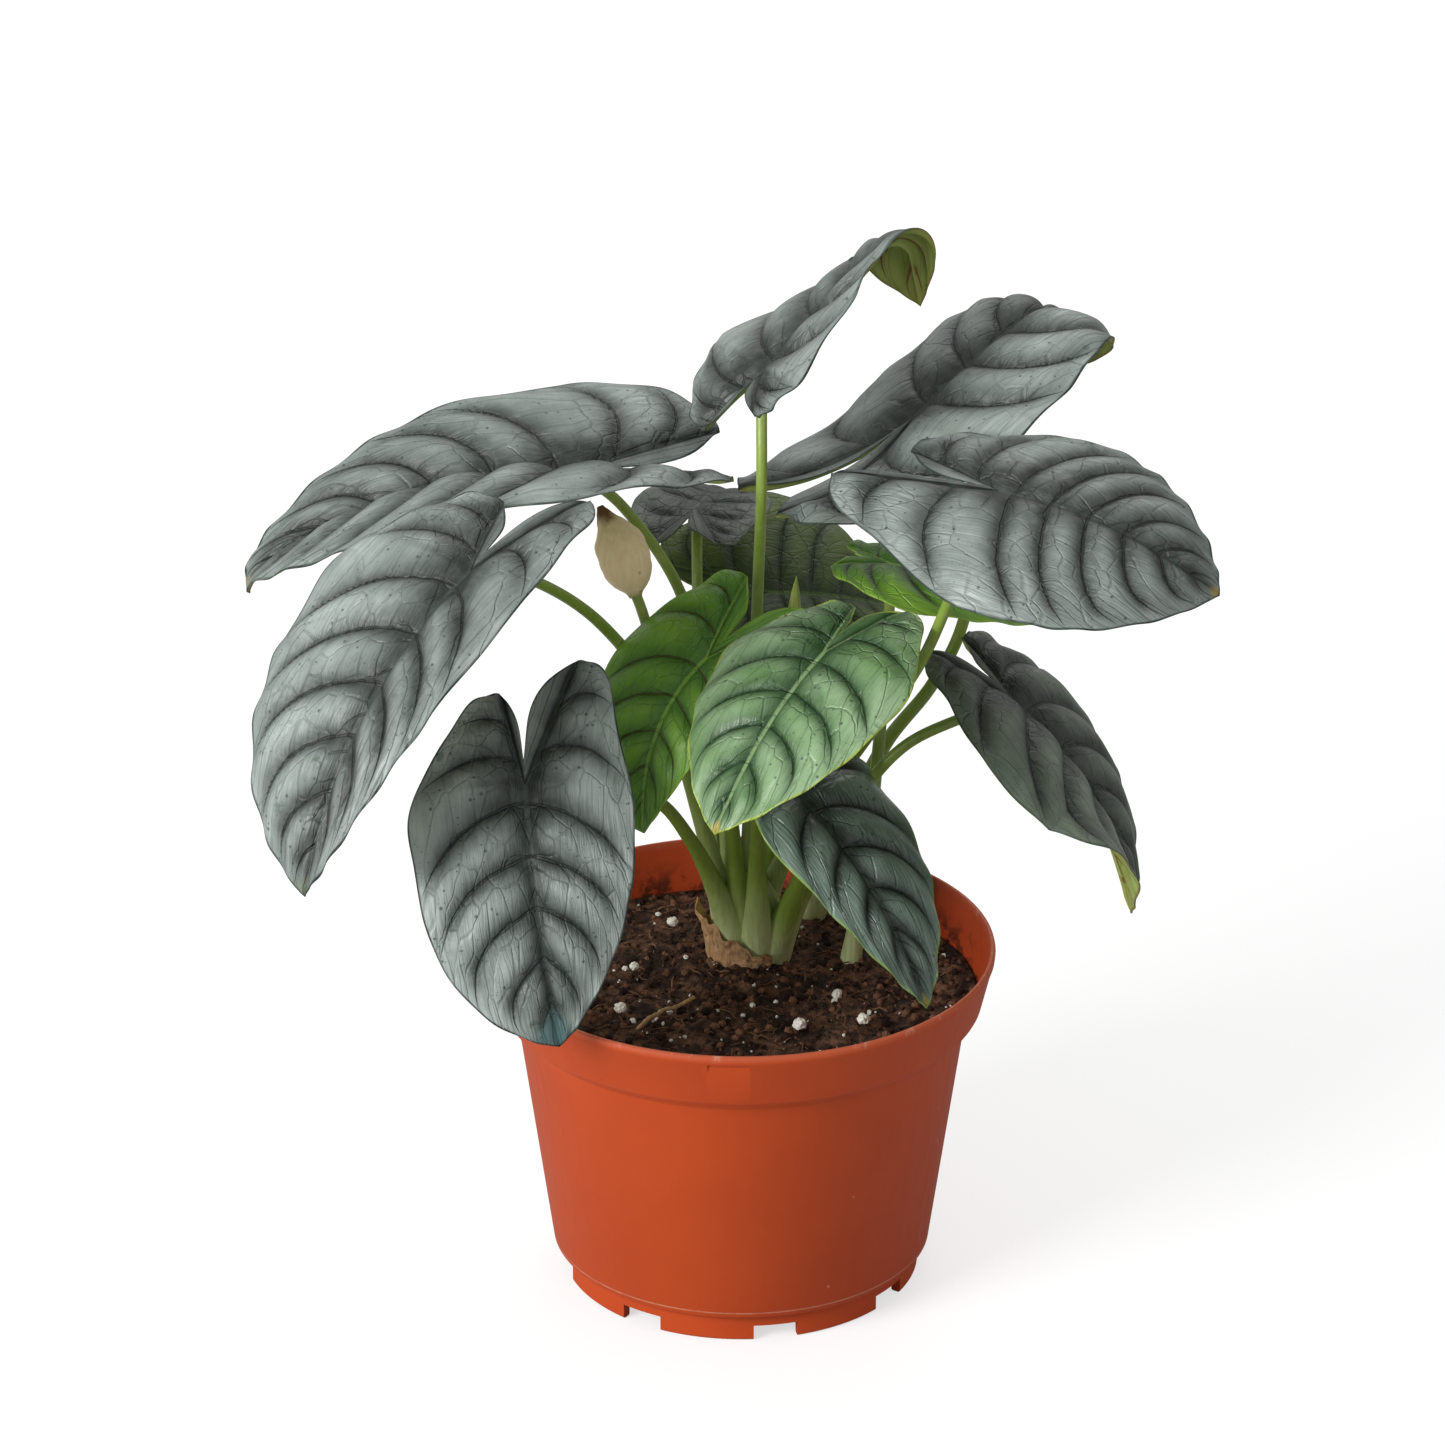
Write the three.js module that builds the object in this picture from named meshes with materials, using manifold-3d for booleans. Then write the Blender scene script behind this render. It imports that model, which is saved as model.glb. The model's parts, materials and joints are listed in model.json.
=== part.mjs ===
// Potted alocasia: a silver-leaved jewel alocasia growing in a plastic azalea pot.
// Millimetres, +Z up. The origin is the middle of the pot's underside and -Y is the front.
import * as THREE from "three";
import { mergeVertices } from "three/addons/utils/BufferGeometryUtils.js";
import Module from "manifold-3d";

const wasm = await Module();
wasm.setup();

// ---- Driving dimensions -------------------------------------------------------------------------

const gap = 0.3; // clearance between neighbouring pieces

// Pot
const potHeight = 111;
const rimRadius = 80; // outside, at the lip
const collarHeight = 18;
const collarDraft = 4; // how much narrower the collar is at its lower edge
const shoulderWidth = 5; // step in from the collar to the body
const shoulderDrop = 4; // height of the sloping step inside and out
const bodyFootRadius = 60; // outside, where the body meets the foot
const footRadius = 56.5;
const footHeight = 10;
const wall = 1.6;
const floorHeight = 4; // underside of the raised floor
const restPadRadius = 24; // flat pad under the middle, level with the foot
const notchCount = 8;
const notchWidth = 14;
const notchHeight = 5;
const notchTurn = -79; // degrees, the first notch
const potSides = 56;

// Soil
const soilDrop = 16; // mean soil level below the rim
const soilBump = 1.6; // height of the bumps in the soil
const soilSides = 36;
const soilRings = 6;

// Crown
const crownX = 3;
const crownY = 23;
const crownDepth = 12; // how deep the corm sits in the soil
const crownRadius = 14;
const crownRise = 30; // from the soil to where the stalks part
const crownSwell = 1.06; // how much wider the crown is just above the soil

// Leaves
const bladeThickness = 1;
const ribRows = 9; // rows from the stalk to the leaf tip
const lobeRows = 4; // rows from the stalk to a lobe tip
const lobeTipWidth = 0.24; // how full a lobe is near its tip, as a share of the half width
const bladeColumns = 3; // on each side of the rib
const stalkSides = 8;
const stalkSteps = 12;
const stalkBaseRadius = 4;
const stalkTipRadius = 1.7;
const shootRadius = 4.5; // a stalk that comes straight out of the soil
const shootDepth = 7; // how deep such a stalk is rooted
const flowerStalkRadius = 2.6;
const flowerStalkTipRadius = 2.2;
const newLeafStalkRadius = 3;
const spatheRadius = 8.5;
const sheathRise = 16; // height of the dry sheath on the crown
const twigRadius = 1;

// ---- Small helpers ------------------------------------------------------------------------------

const radians = THREE.MathUtils.degToRad;
const vector = (x, y, z) => new THREE.Vector3(x, y, z);

function finish(colour, roughness, metalness = 0) {
  return new THREE.MeshStandardMaterial({ color: colour, roughness, metalness });
}

const finishes = {
  terracotta: finish("#c0492b", 0.45),
  soil: finish("#2b1a12", 0.95),
  silver: finish("#8f9a9a", 0.5),
  pale: finish("#8aa88f", 0.45),
  bright: finish("#4f8a20", 0.4),
  dark: finish("#2f4a3f", 0.4),
  dull: finish("#43562f", 0.55),
  stalk: finish("#7f9a35", 0.45),
  crown: finish("#9fb36a", 0.5),
  cream: finish("#d8c8ab", 0.6),
  dry: finish("#8a6a45", 0.85),
  perlite: finish("#e6e2d8", 0.9),
};

const plant = new THREE.Group();

function addPiece(name, geometry, material) {
  const mesh = new THREE.Mesh(geometry, material);
  mesh.name = name;
  plant.add(mesh);
  return mesh;
}

// A closed geometry as a manifold solid.
function solidOf(geometry) {
  const bare = new THREE.BufferGeometry();
  bare.setAttribute("position", geometry.getAttribute("position"));
  if (geometry.index) bare.setIndex(geometry.index);
  const merged = mergeVertices(bare, 1e-4);
  return new wasm.Manifold(
    new wasm.Mesh({
      numProp: 3,
      vertProperties: merged.getAttribute("position").array,
      triVerts: new Uint32Array(merged.index.array),
    }),
  );
}

// The largest body of a solid as a geometry, with any crumbs of a cut left out.
function geometryOf(solid) {
  const bodies = solid.decompose();
  bodies.sort((a, b) => b.volume() - a.volume());
  const made = bodies[0].getMesh();
  const geometry = new THREE.BufferGeometry();
  geometry.setAttribute("position", new THREE.BufferAttribute(new Float32Array(made.vertProperties), 3));
  geometry.setIndex(new THREE.BufferAttribute(new Uint32Array(made.triVerts), 1));
  return geometry;
}

function lathe(profile, sides) {
  const points = profile.map(([radius, height]) => new THREE.Vector2(radius, height));
  return new THREE.LatheGeometry(points, sides).rotateX(Math.PI / 2);
}

// ---- Pot ----------------------------------------------------------------------------------------

const collarFootRadius = rimRadius - collarDraft;
const bodyTopRadius = collarFootRadius - shoulderWidth;
const collarFoot = potHeight - collarHeight;
const shoulderFoot = collarFoot - shoulderDrop;
const floorTop = floorHeight + wall;

// Inner radius of the pot wall at a height above the floor.
function potInnerRadius(height) {
  if (height >= collarFoot) {
    const up = (height - collarFoot) / collarHeight;
    return THREE.MathUtils.lerp(collarFootRadius, rimRadius, up) - wall;
  }
  if (height >= shoulderFoot) {
    const up = (height - shoulderFoot) / shoulderDrop;
    return THREE.MathUtils.lerp(bodyTopRadius, collarFootRadius, up) - wall;
  }
  const up = Math.max(0, height - footHeight) / (shoulderFoot - footHeight);
  return THREE.MathUtils.lerp(bodyFootRadius, bodyTopRadius, up) - wall;
}

function makePot() {
  const profile = [
    [0, 0],
    [restPadRadius, 0],
    [restPadRadius + floorHeight, floorHeight],
    [footRadius - 2 * wall, floorHeight],
    [footRadius - 2 * wall, 0],
    [footRadius, 0],
    [footRadius, footHeight - 2],
    [bodyFootRadius, footHeight],
    [bodyTopRadius, collarFoot],
    [collarFootRadius, collarFoot],
    [rimRadius, potHeight - 1],
    [rimRadius - 0.6, potHeight],
    [rimRadius - wall, potHeight],
    [potInnerRadius(collarFoot), collarFoot],
    [potInnerRadius(shoulderFoot), shoulderFoot],
    [potInnerRadius(footHeight), footHeight],
    [footRadius - 2 * wall, floorTop],
    [0, floorTop],
  ];
  let pot = solidOf(lathe(profile, potSides));
  const depth = 4 * wall + 4;
  for (let i = 0; i < notchCount; i++) {
    const turn = radians(notchTurn + (360 / notchCount) * i);
    const box = new THREE.BoxGeometry(depth, notchWidth, 2 * notchHeight);
    box.translate(footRadius - 2 * wall, 0, 0);
    box.rotateZ(turn);
    pot = pot.subtract(solidOf(box));
  }
  return geometryOf(pot);
}

// ---- Soil ---------------------------------------------------------------------------------------

const soilLevel = potHeight - soilDrop;
const soilRadius = potInnerRadius(soilLevel);

// A point whose height is given above the soil.
const raised = ([x, y, height]) => [x, y, soilLevel + height];

function soilHeight(x, y) {
  const wave = Math.sin(x / 9 + 1) * Math.cos(y / 11) + 0.5 * Math.sin((x + 2 * y) / 13);
  return soilLevel + soilBump * wave;
}

// A closed solid between a rim polygon's rings: a bumpy top over straight sides and a flat bottom.
function makeSoil() {
  const positions = [];
  const ringAt = (radiusOf, heightOf) => {
    for (let j = 0; j < soilSides; j++) {
      const angle = (2 * Math.PI * j) / soilSides;
      const radius = radiusOf();
      const x = radius * Math.cos(angle);
      const y = radius * Math.sin(angle);
      positions.push(x, y, heightOf(x, y));
    }
  };
  const reach = (height) => (potInnerRadius(height) - gap) * Math.cos(Math.PI / potSides) - gap;
  const edge = soilLevel - 2 * soilBump;
  positions.push(0, 0, soilHeight(0, 0));
  for (let i = 1; i < soilRings; i++) {
    ringAt(() => (reach(edge) * i) / soilRings, soilHeight);
  }
  ringAt(() => reach(edge), () => edge);
  ringAt(() => reach(shoulderFoot), () => shoulderFoot);
  ringAt(() => reach(footHeight), () => footHeight);
  ringAt(() => footRadius - 4 * wall, () => floorTop + gap);
  const rings = soilRings + 3;
  positions.push(0, 0, floorTop + gap);
  const index = [];
  const at = (ring, side) => 1 + (ring - 1) * soilSides + (side % soilSides);
  const bottom = 1 + rings * soilSides;
  for (let j = 0; j < soilSides; j++) {
    index.push(0, at(1, j), at(1, j + 1));
    for (let i = 1; i < rings; i++) {
      index.push(at(i, j), at(i + 1, j), at(i + 1, j + 1));
      index.push(at(i, j), at(i + 1, j + 1), at(i, j + 1));
    }
    index.push(at(rings, j), bottom, at(rings, j + 1));
  }
  const geometry = new THREE.BufferGeometry();
  geometry.setAttribute("position", new THREE.Float32BufferAttribute(positions, 3));
  geometry.setIndex(index);
  return geometry;
}

// ---- Crown --------------------------------------------------------------------------------------

// The corm and the clasping stalk bases, larger all round by a margin.
function makeCrown(margin) {
  const foot = soilLevel - crownDepth;
  const top = soilLevel + crownRise;
  const profile = [
    [0, foot - margin],
    [crownRadius * 0.7 + margin, foot - margin],
    [crownRadius + margin, soilLevel - 2],
    [crownRadius * crownSwell + margin, soilLevel + 8],
    [crownRadius * 0.86 + margin, soilLevel + 20],
    [crownRadius * 0.5 + margin, top + margin],
    [0, top + margin],
  ];
  return lathe(profile, 20).translate(crownX, crownY, 0);
}

// ---- Leaf blades --------------------------------------------------------------------------------

// Across a blade at a share of the way from its widest place to its tip, where 1 is the half width.
const acrossAt = (lobe, share) => (1 - share ** lobe.fullness) ** 0.9;
const outlineShares = [0, 0.2, 0.4, 0.6, 0.8, 0.93, 1];
const widestShare = 0.08; // of the length, in front of the stalk

// A point of the half blade's skeleton at s, from -1 (lobe tip) through 0 (stalk) to 1 (leaf tip).
function ribPoint(leaf, lobe, s) {
  if (s >= 0) return [s * leaf.length, 0];
  return [s * lobe.reach, -s * lobe.spread];
}

function marginCurve(leaf, lobe) {
  const half = lobe.half;
  const points = outlineShares.map((share) => {
    const along = THREE.MathUtils.lerp(widestShare, 1, share) * leaf.length;
    return vector(along, acrossAt(lobe, share) * half, 0);
  });
  points.unshift(vector(-0.5 * lobe.reach, (0.45 + lobe.shoulder) * half + 0.55 * lobe.spread, 0));
  points.unshift(vector(-0.9 * lobe.reach, lobe.spread + lobeTipWidth * half, 0));
  points.unshift(vector(-lobe.reach, lobe.spread, 0));
  return new THREE.CatmullRomCurve3(points, false, "centripetal");
}

function sinusCurve(leaf, lobe) {
  const points = [
    vector(-lobe.reach, lobe.spread, 0),
    vector(-0.8 * lobe.reach, lobe.spread * 0.42, 0),
    vector(-0.5 * lobe.reach - 0.5 * leaf.sinus, lobe.spread * 0.16, 0),
    vector(-leaf.sinus, 0, 0),
  ];
  return new THREE.CatmullRomCurve3(points, false, "centripetal");
}

// The leaf's frame at a station along the rib: x runs to the tip, y to the left, z out of the upper face.
function frameAt(leaf, along) {
  const turn = new THREE.Matrix4().makeRotationZ(radians(leaf.heading));
  turn.multiply(new THREE.Matrix4().makeRotationY(radians(-leaf.pitch)));
  turn.multiply(new THREE.Matrix4().makeRotationX(radians(leaf.roll)));
  const share = along / leaf.length;
  if (share >= 0) {
    const hook = THREE.MathUtils.clamp((share - leaf.hookStart) / (leaf.hookEnd - leaf.hookStart), 0, 1);
    turn.multiply(new THREE.Matrix4().makeRotationZ(radians(leaf.sway * share)));
    turn.multiply(new THREE.Matrix4().makeRotationY(radians(leaf.bend * share + leaf.hook * hook)));
    turn.multiply(new THREE.Matrix4().makeRotationX(radians(leaf.twist * share)));
  } else {
    turn.multiply(new THREE.Matrix4().makeRotationY(radians(leaf.lobeBend * share)));
  }
  return turn;
}

// The rib as a list of stations, found by walking out from the stalk both ways.
function walkRib(leaf) {
  const step = 1;
  const reach = Math.max(leaf.left.reach, leaf.right.reach);
  const walk = (direction, distance) => {
    const stations = [vector(...leaf.at)];
    const steps = Math.ceil(distance / step) + 1;
    for (let i = 0; i < steps; i++) {
      const along = direction * (i + 0.5) * step;
      const ahead = vector(direction * step, 0, 0).applyMatrix4(frameAt(leaf, along));
      stations.push(stations[i].clone().add(ahead));
    }
    return stations;
  };
  const out = walk(1, leaf.length);
  const back = walk(-1, reach);
  return (along) => {
    const stations = along >= 0 ? out : back;
    const place = Math.abs(along) / step;
    const i = Math.min(Math.floor(place), stations.length - 2);
    return stations[i].clone().lerp(stations[i + 1], place - i);
  };
}

// A flat blade point put in space. Each half folds up or down along the rib, then curls towards its margin.
function placer(leaf) {
  const ribAt = walkRib(leaf);
  return (along, across, side) => {
    const lobe = side > 0 ? leaf.left : leaf.right;
    const half = lobe.half;
    const share = Math.max(0, along / leaf.length);
    const rolled = Math.max(0, (share - lobe.rollStart) / (1 - lobe.rollStart));
    const fold = radians(THREE.MathUtils.lerp(lobe.fold, lobe.tipFold, share));
    const rate = radians(lobe.curl + lobe.tipCurl * rolled) / half || 1e-6;
    const out = (Math.sin(fold + rate * across) - Math.sin(fold)) / rate;
    const up = (Math.cos(fold) - Math.cos(fold + rate * across)) / rate;
    return vector(0, side * out, up).applyMatrix4(frameAt(leaf, along)).add(ribAt(along));
  };
}

// The four patches of a blade as grids of points: each half has an outer patch and a lobe patch.
function bladePatches(leaf) {
  const place = placer(leaf);
  const patches = [];
  for (const side of [1, -1]) {
    const lobe = side > 0 ? leaf.left : leaf.right;
    const margin = marginCurve(leaf, lobe);
    const sinus = sinusCurve(leaf, lobe);
    const outer = [];
    for (let i = -lobeRows; i <= ribRows; i++) {
      const s = i < 0 ? i / lobeRows : i / ribRows;
      const [ribAlong, ribAcross] = ribPoint(leaf, lobe, s);
      const edge = margin.getPoint((i + lobeRows) / (lobeRows + ribRows));
      const row = [];
      for (let j = 0; j <= bladeColumns; j++) {
        const v = j / bladeColumns;
        const along = THREE.MathUtils.lerp(ribAlong, edge.x, v);
        const across = THREE.MathUtils.lerp(ribAcross, edge.y, v);
        row.push(place(along, across, side));
      }
      outer.push(row);
    }
    const inner = [];
    for (let i = -lobeRows; i <= 0; i++) {
      const [ribAlong, ribAcross] = ribPoint(leaf, lobe, i / lobeRows);
      const edge = sinus.getPoint((i + lobeRows) / lobeRows);
      const row = [];
      for (let j = 0; j <= 2; j++) {
        const along = THREE.MathUtils.lerp(ribAlong, edge.x, j / 2);
        const across = THREE.MathUtils.lerp(ribAcross, edge.y, j / 2);
        row.push(place(along, across, side));
      }
      inner.push(row);
    }
    patches.push({ grid: outer, flip: side < 0 }, { grid: inner, flip: side > 0 });
  }
  return patches;
}

// One sheet of triangles from the patches, with shared points merged and empty triangles dropped.
function sheetOf(patches) {
  const positions = [];
  for (const { grid, flip } of patches) {
    for (let i = 0; i + 1 < grid.length; i++) {
      for (let j = 0; j + 1 < grid[i].length; j++) {
        const [a, b, c, d] = [grid[i][j], grid[i + 1][j], grid[i + 1][j + 1], grid[i][j + 1]];
        const corners = flip ? [a, c, b, a, d, c] : [a, b, c, a, c, d];
        for (const corner of corners) positions.push(corner.x, corner.y, corner.z);
      }
    }
  }
  const loose = new THREE.BufferGeometry();
  loose.setAttribute("position", new THREE.Float32BufferAttribute(positions, 3));
  const sheet = mergeVertices(loose, 1e-3);
  const index = sheet.index.array;
  const kept = [];
  for (let i = 0; i < index.length; i += 3) {
    const [a, b, c] = [index[i], index[i + 1], index[i + 2]];
    if (a !== b && b !== c && c !== a) kept.push(a, b, c);
  }
  sheet.setIndex(kept);
  sheet.computeVertexNormals();
  return sheet;
}

// A sheet given a thickness: an upper face, a lower face and a wall round the margin.
function plateOf(sheet, thickness) {
  const count = sheet.getAttribute("position").count;
  const top = sheet.getAttribute("position");
  const normal = sheet.getAttribute("normal");
  const positions = [];
  for (const side of [0.5, -0.5]) {
    for (let i = 0; i < count; i++) {
      const point = vector().fromBufferAttribute(top, i);
      const out = vector().fromBufferAttribute(normal, i);
      point.addScaledVector(out, side * thickness);
      positions.push(point.x, point.y, point.z);
    }
  }
  const index = [];
  const edges = new Map();
  const faces = sheet.index.array;
  for (let i = 0; i < faces.length; i += 3) {
    const [a, b, c] = [faces[i], faces[i + 1], faces[i + 2]];
    index.push(a, b, c);
    index.push(count + a, count + c, count + b);
    for (const [p, q] of [[a, b], [b, c], [c, a]]) {
      if (edges.has(`${q} ${p}`)) edges.delete(`${q} ${p}`);
      else edges.set(`${p} ${q}`, [p, q]);
    }
  }
  for (const [p, q] of edges.values()) {
    index.push(p, count + p, count + q);
    index.push(p, count + q, q);
  }
  const plate = new THREE.BufferGeometry();
  plate.setAttribute("position", new THREE.Float32BufferAttribute(positions, 3));
  plate.setIndex(index);
  return plate;
}

// ---- Stalks -------------------------------------------------------------------------------------

// A round tapering rod through points, closed at both ends.
function makeStalk(points, baseRadius, tipRadius, steps) {
  const curve = new THREE.CatmullRomCurve3(points.map((point) => vector(...point)), false, "centripetal");
  const frames = curve.computeFrenetFrames(steps, false);
  const positions = [];
  for (let i = 0; i <= steps; i++) {
    const share = i / steps;
    const centre = curve.getPointAt(share);
    const radius = THREE.MathUtils.lerp(baseRadius, tipRadius, 1 - (1 - share) ** 2.2);
    for (let j = 0; j < stalkSides; j++) {
      const angle = (2 * Math.PI * j) / stalkSides;
      const point = centre.clone();
      point.addScaledVector(frames.normals[i], radius * Math.cos(angle));
      point.addScaledVector(frames.binormals[i], radius * Math.sin(angle));
      positions.push(point.x, point.y, point.z);
    }
  }
  const first = curve.getPointAt(0);
  const last = curve.getPointAt(1);
  positions.push(first.x, first.y, first.z, last.x, last.y, last.z);
  const start = (steps + 1) * stalkSides;
  const index = [];
  for (let j = 0; j < stalkSides; j++) {
    const k = (j + 1) % stalkSides;
    index.push(start, k, j);
    for (let i = 0; i < steps; i++) {
      const [a, b] = [i * stalkSides + j, i * stalkSides + k];
      const [c, d] = [b + stalkSides, a + stalkSides];
      index.push(a, b, c, a, c, d);
    }
    index.push(start + 1, steps * stalkSides + j, steps * stalkSides + k);
  }
  const stalk = new THREE.BufferGeometry();
  stalk.setAttribute("position", new THREE.Float32BufferAttribute(positions, 3));
  stalk.setIndex(index);
  return stalk;
}

// ---- The leaves of this plant -------------------------------------------------------------------

// Shared shape of a leaf; each leaf states what differs. Angles are degrees and lengths millimetres,
// and the height in a leaf's place is above the soil.
function leafOf(own) {
  const side = { fold: 6, curl: -20, tipCurl: 0, rollStart: 0.5, shoulder: 0.12 };
  const common = {
    roll: 0, sway: 0, twist: 0, hook: 0, hookStart: 0.75, hookEnd: 1, lobeBend: 15, sinus: 8,
    fullness: 2, finish: "silver",
  };
  const leaf = { ...common, ...own, at: raised(own.at) };
  const base = { ...side, fullness: leaf.fullness };
  leaf.left = { ...base, tipFold: own.left.fold ?? side.fold, ...own.left };
  leaf.right = { ...base, tipFold: own.right.fold ?? side.fold, ...own.right };
  return leaf;
}

const leaves = [
  leafOf({
    name: "top",
    at: [5, 20, 201], heading: 28, pitch: 40, twist: -30, bend: 0, hook: 120, hookStart: 0.6,
    hookEnd: 0.8, length: 88, lobeBend: 60, sinus: 3,
    left: { half: 46, reach: 25, spread: 8, fold: 0, tipFold: -20, curl: -26, fullness: 2 },
    right: { half: 24, reach: 12, spread: 14, fold: 10, curl: -10, fullness: 1.5 },
  }),
  leafOf({
    name: "upper_right",
    at: [53, 40, 179], heading: 34, pitch: 35, bend: 20, hook: 100, hookStart: 0.55, hookEnd: 0.9,
    length: 86, lobeBend: -64, fullness: 3,
    left: { half: 36, reach: 60, spread: 12, fold: -4, shoulder: 0.45 },
    right: { half: 42, reach: 68, spread: 20 },
  }),
  leafOf({
    name: "right",
    at: [78, -28, 182], heading: -30, pitch: 2, roll: 22, bend: 45, length: 76, lobeBend: 0,
    fullness: 3,
    left: { half: 42, reach: 38, spread: 13, fold: -6, curl: -26, fullness: 2.3 },
    right: { half: 48, reach: 56, spread: 5, fold: 4, curl: -16 },
  }),
  leafOf({
    name: "upper_left",
    at: [-50, 21, 169], heading: 188, pitch: 5, roll: -12, bend: 50, hook: 50, hookStart: 0.9,
    length: 118, lobeBend: 0,
    left: { half: 42, reach: 46, spread: 14, fold: 32, tipFold: 10 },
    right: { half: 40, reach: 46, spread: 20, fold: 14, shoulder: 0.4, fullness: 1.6 },
  }),
  leafOf({
    name: "lower_left",
    at: [-82, -57, 168], heading: 222, pitch: -28, roll: 0, bend: 50, length: 113,
    left: { half: 27, reach: 40, spread: 14, fullness: 2.2 },
    right: { half: 50, reach: 27, spread: 12, fullness: 3.6 },
  }),
  leafOf({
    name: "front_left",
    at: [-66, -50, 94], heading: -84, sway: 12, pitch: -50, bend: 40, length: 83,
    left: { half: 33, reach: 40, spread: 19, fullness: 2.3 },
    right: { half: 36, reach: 30, spread: 6, fullness: 3.6 },
  }),
  leafOf({
    name: "front_centre",
    at: [25, -30, 130], heading: 232, pitch: -20, bend: 35, length: 70, finish: "pale", fullness: 2.5,
    left: { half: 36, reach: 26, spread: 12 },
    right: { half: 31, reach: 22, spread: 4 },
  }),
  leafOf({
    name: "bright",
    at: [-11, -8, 118], heading: 208, sway: 40, pitch: -35, roll: -15, bend: 40, length: 60,
    finish: "bright",
    left: { half: 24, reach: 34, spread: 14, fullness: 1.8 },
    right: { half: 30, reach: 28, spread: 14, fullness: 2.7 },
  }),
  leafOf({
    name: "front_right",
    at: [19, -22, 77], heading: -42, pitch: -30, bend: 35, length: 77, finish: "dark",
    left: { half: 31, reach: 16, spread: 10, shoulder: 0.4 },
    right: { half: 24, reach: 12, spread: 8 },
  }),
  leafOf({
    name: "lower_right",
    at: [85, 10, 96], heading: -15, pitch: -38, bend: 45, length: 82, finish: "dark", fullness: 2.4,
    left: { half: 33, reach: 24, spread: 12 },
    right: { half: 44, reach: 32, spread: 12, tipCurl: 150, rollStart: 0.4 },
  }),
  leafOf({
    name: "back",
    at: [9, 68, 107], heading: 14, pitch: -5, roll: 35, bend: 25, length: 43, finish: "dull",
    fullness: 2.6,
    left: { half: 40, reach: 34, spread: 14 },
    right: { half: 36, reach: 30, spread: 14 },
  }),
  leafOf({
    name: "back_small",
    at: [-14, 60, 140], heading: 70, pitch: 5, bend: 40, length: 38,
    left: { half: 22, reach: 30, spread: 9 },
    right: { half: 22, reach: 20, spread: 14 },
  }),
  leafOf({
    name: "young",
    at: [46, 22, 137], heading: -5, pitch: -10, bend: 20, length: 60, finish: "bright",
    left: { half: 16, reach: 14, spread: 8 },
    right: { half: 30, reach: 18, spread: 10 },
  }),
];

for (const leaf of leaves) {
  const blade = plateOf(sheetOf(bladePatches(leaf)), bladeThickness);
  addPiece(`leaf_${leaf.name}`, blade, finishes[leaf.finish]);
}

// Where a stalk ends: just under its blade, at the place that the blade grows from.
function underBlade(name) {
  const leaf = leaves.find((other) => other.name === name);
  const out = vector(0, 0, 1).applyMatrix4(frameAt(leaf, 0));
  const below = bladeThickness / 2 + gap + 0.8 * stalkTipRadius;
  return vector(...leaf.at).addScaledVector(out, -below).toArray();
}

// The course of each stalk, from the crown or the soil to its blade. Heights are above the soil.
const crownCourses = {
  front_left: [
    [-3, 16, 13], [-9, 11, 32], [-16, 4, 50], [-26, -2, 66], [-40, -7, 73], [-53, -20, 76],
    [-61, -38, 85],
  ],
  lower_left: [[-5, 20, 17], [-13, 18, 51], [-25, 17, 91], [-43, 11, 120], [-64, -16, 147]],
  upper_left: [[-2, 26, 21], [-6, 30, 55], [-12, 32, 91], [-20, 33, 124], [-37, 33, 151]],
  top: [[3, 27, 25], [3, 27, 55], [5, 22, 127], [6, 10, 167], [6, 15, 189]],
  front_centre: [[5, 13, 13], [5, 3, 53], [8, -15, 85], [18, -27, 113]],
  bright: [[-1, 16, 21], [-3, 9, 53], [-6, 2, 85], [-9, -3, 108]],
  front_right: [[11, 15, 11], [19, 6, 37], [22, -8, 60]],
  lower_right: [[14, 18, 15], [28, 12, 46], [42, 10, 70], [52, 9, 81], [65, 7, 89]],
  right: [[8, 26, 21], [22, 22, 51], [39, 9, 83], [55, -16, 120], [67, -34, 159]],
  back: [[6, 32, 17], [6, 46, 55], [8, 60, 89]],
  back_small: [[-4, 32, 17], [-8, 38, 55], [-13, 40, 100], [-14, 48, 125]],
};
// A shoot's root, its place given as shares of the soil's radius.
const rootAt = (x, y) => [x * soilRadius, y * soilRadius, -shootDepth];
const soilCourses = {
  upper_right: [
    rootAt(0.295, 0.72), [32, 50, 30], [46, 45, 65], [60, 42, 86], [69, 46, 103], [73, 50, 127],
    [65, 48, 157],
  ],
  young: [rootAt(0.455, 0.295), [38, 19, 25], [43, 20, 75], [46, 23, 120]],
};

let soil = solidOf(makeSoil()).subtract(solidOf(makeCrown(gap)));
const stalks = [solidOf(makeCrown(gap))];

// A stalk cut clear of the crown and of the stalks made before it.
function addStalk(name, points, radius, finishName, tipRadius = stalkTipRadius) {
  let stalk = solidOf(makeStalk(points, radius, tipRadius, stalkSteps));
  for (const other of stalks) stalk = stalk.subtract(other);
  stalks.push(solidOf(makeStalk(points, radius + gap, tipRadius + gap, stalkSteps)));
  addPiece(name, geometryOf(stalk), finishes[finishName]);
}

for (const [name, course] of Object.entries(crownCourses)) {
  addStalk(`stalk_${name}`, [...course.map(raised), underBlade(name)], stalkBaseRadius, "stalk");
}
for (const [name, course] of Object.entries(soilCourses)) {
  const points = [...course.map(raised), underBlade(name)];
  const sunk = [vector(...points[0]).add(vector(0, 0, -gap)).toArray(), ...points.slice(1)];
  soil = soil.subtract(solidOf(makeStalk(sunk, shootRadius + gap, stalkTipRadius + gap, stalkSteps)));
  addStalk(`stalk_${name}`, points, shootRadius, "stalk");
}

// ---- Flower, new leaf and litter ----------------------------------------------------------------

// A turned form set between two points.
function spindle(from, to, profile, sides) {
  const axis = vector(...to).sub(vector(...from));
  const length = axis.length();
  const points = profile.map(([radius, share]) => [radius, share * length]);
  const turn = new THREE.Quaternion().setFromUnitVectors(vector(0, 0, 1), axis.normalize());
  return lathe(points, sides).applyQuaternion(turn).translate(...from);
}

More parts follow.
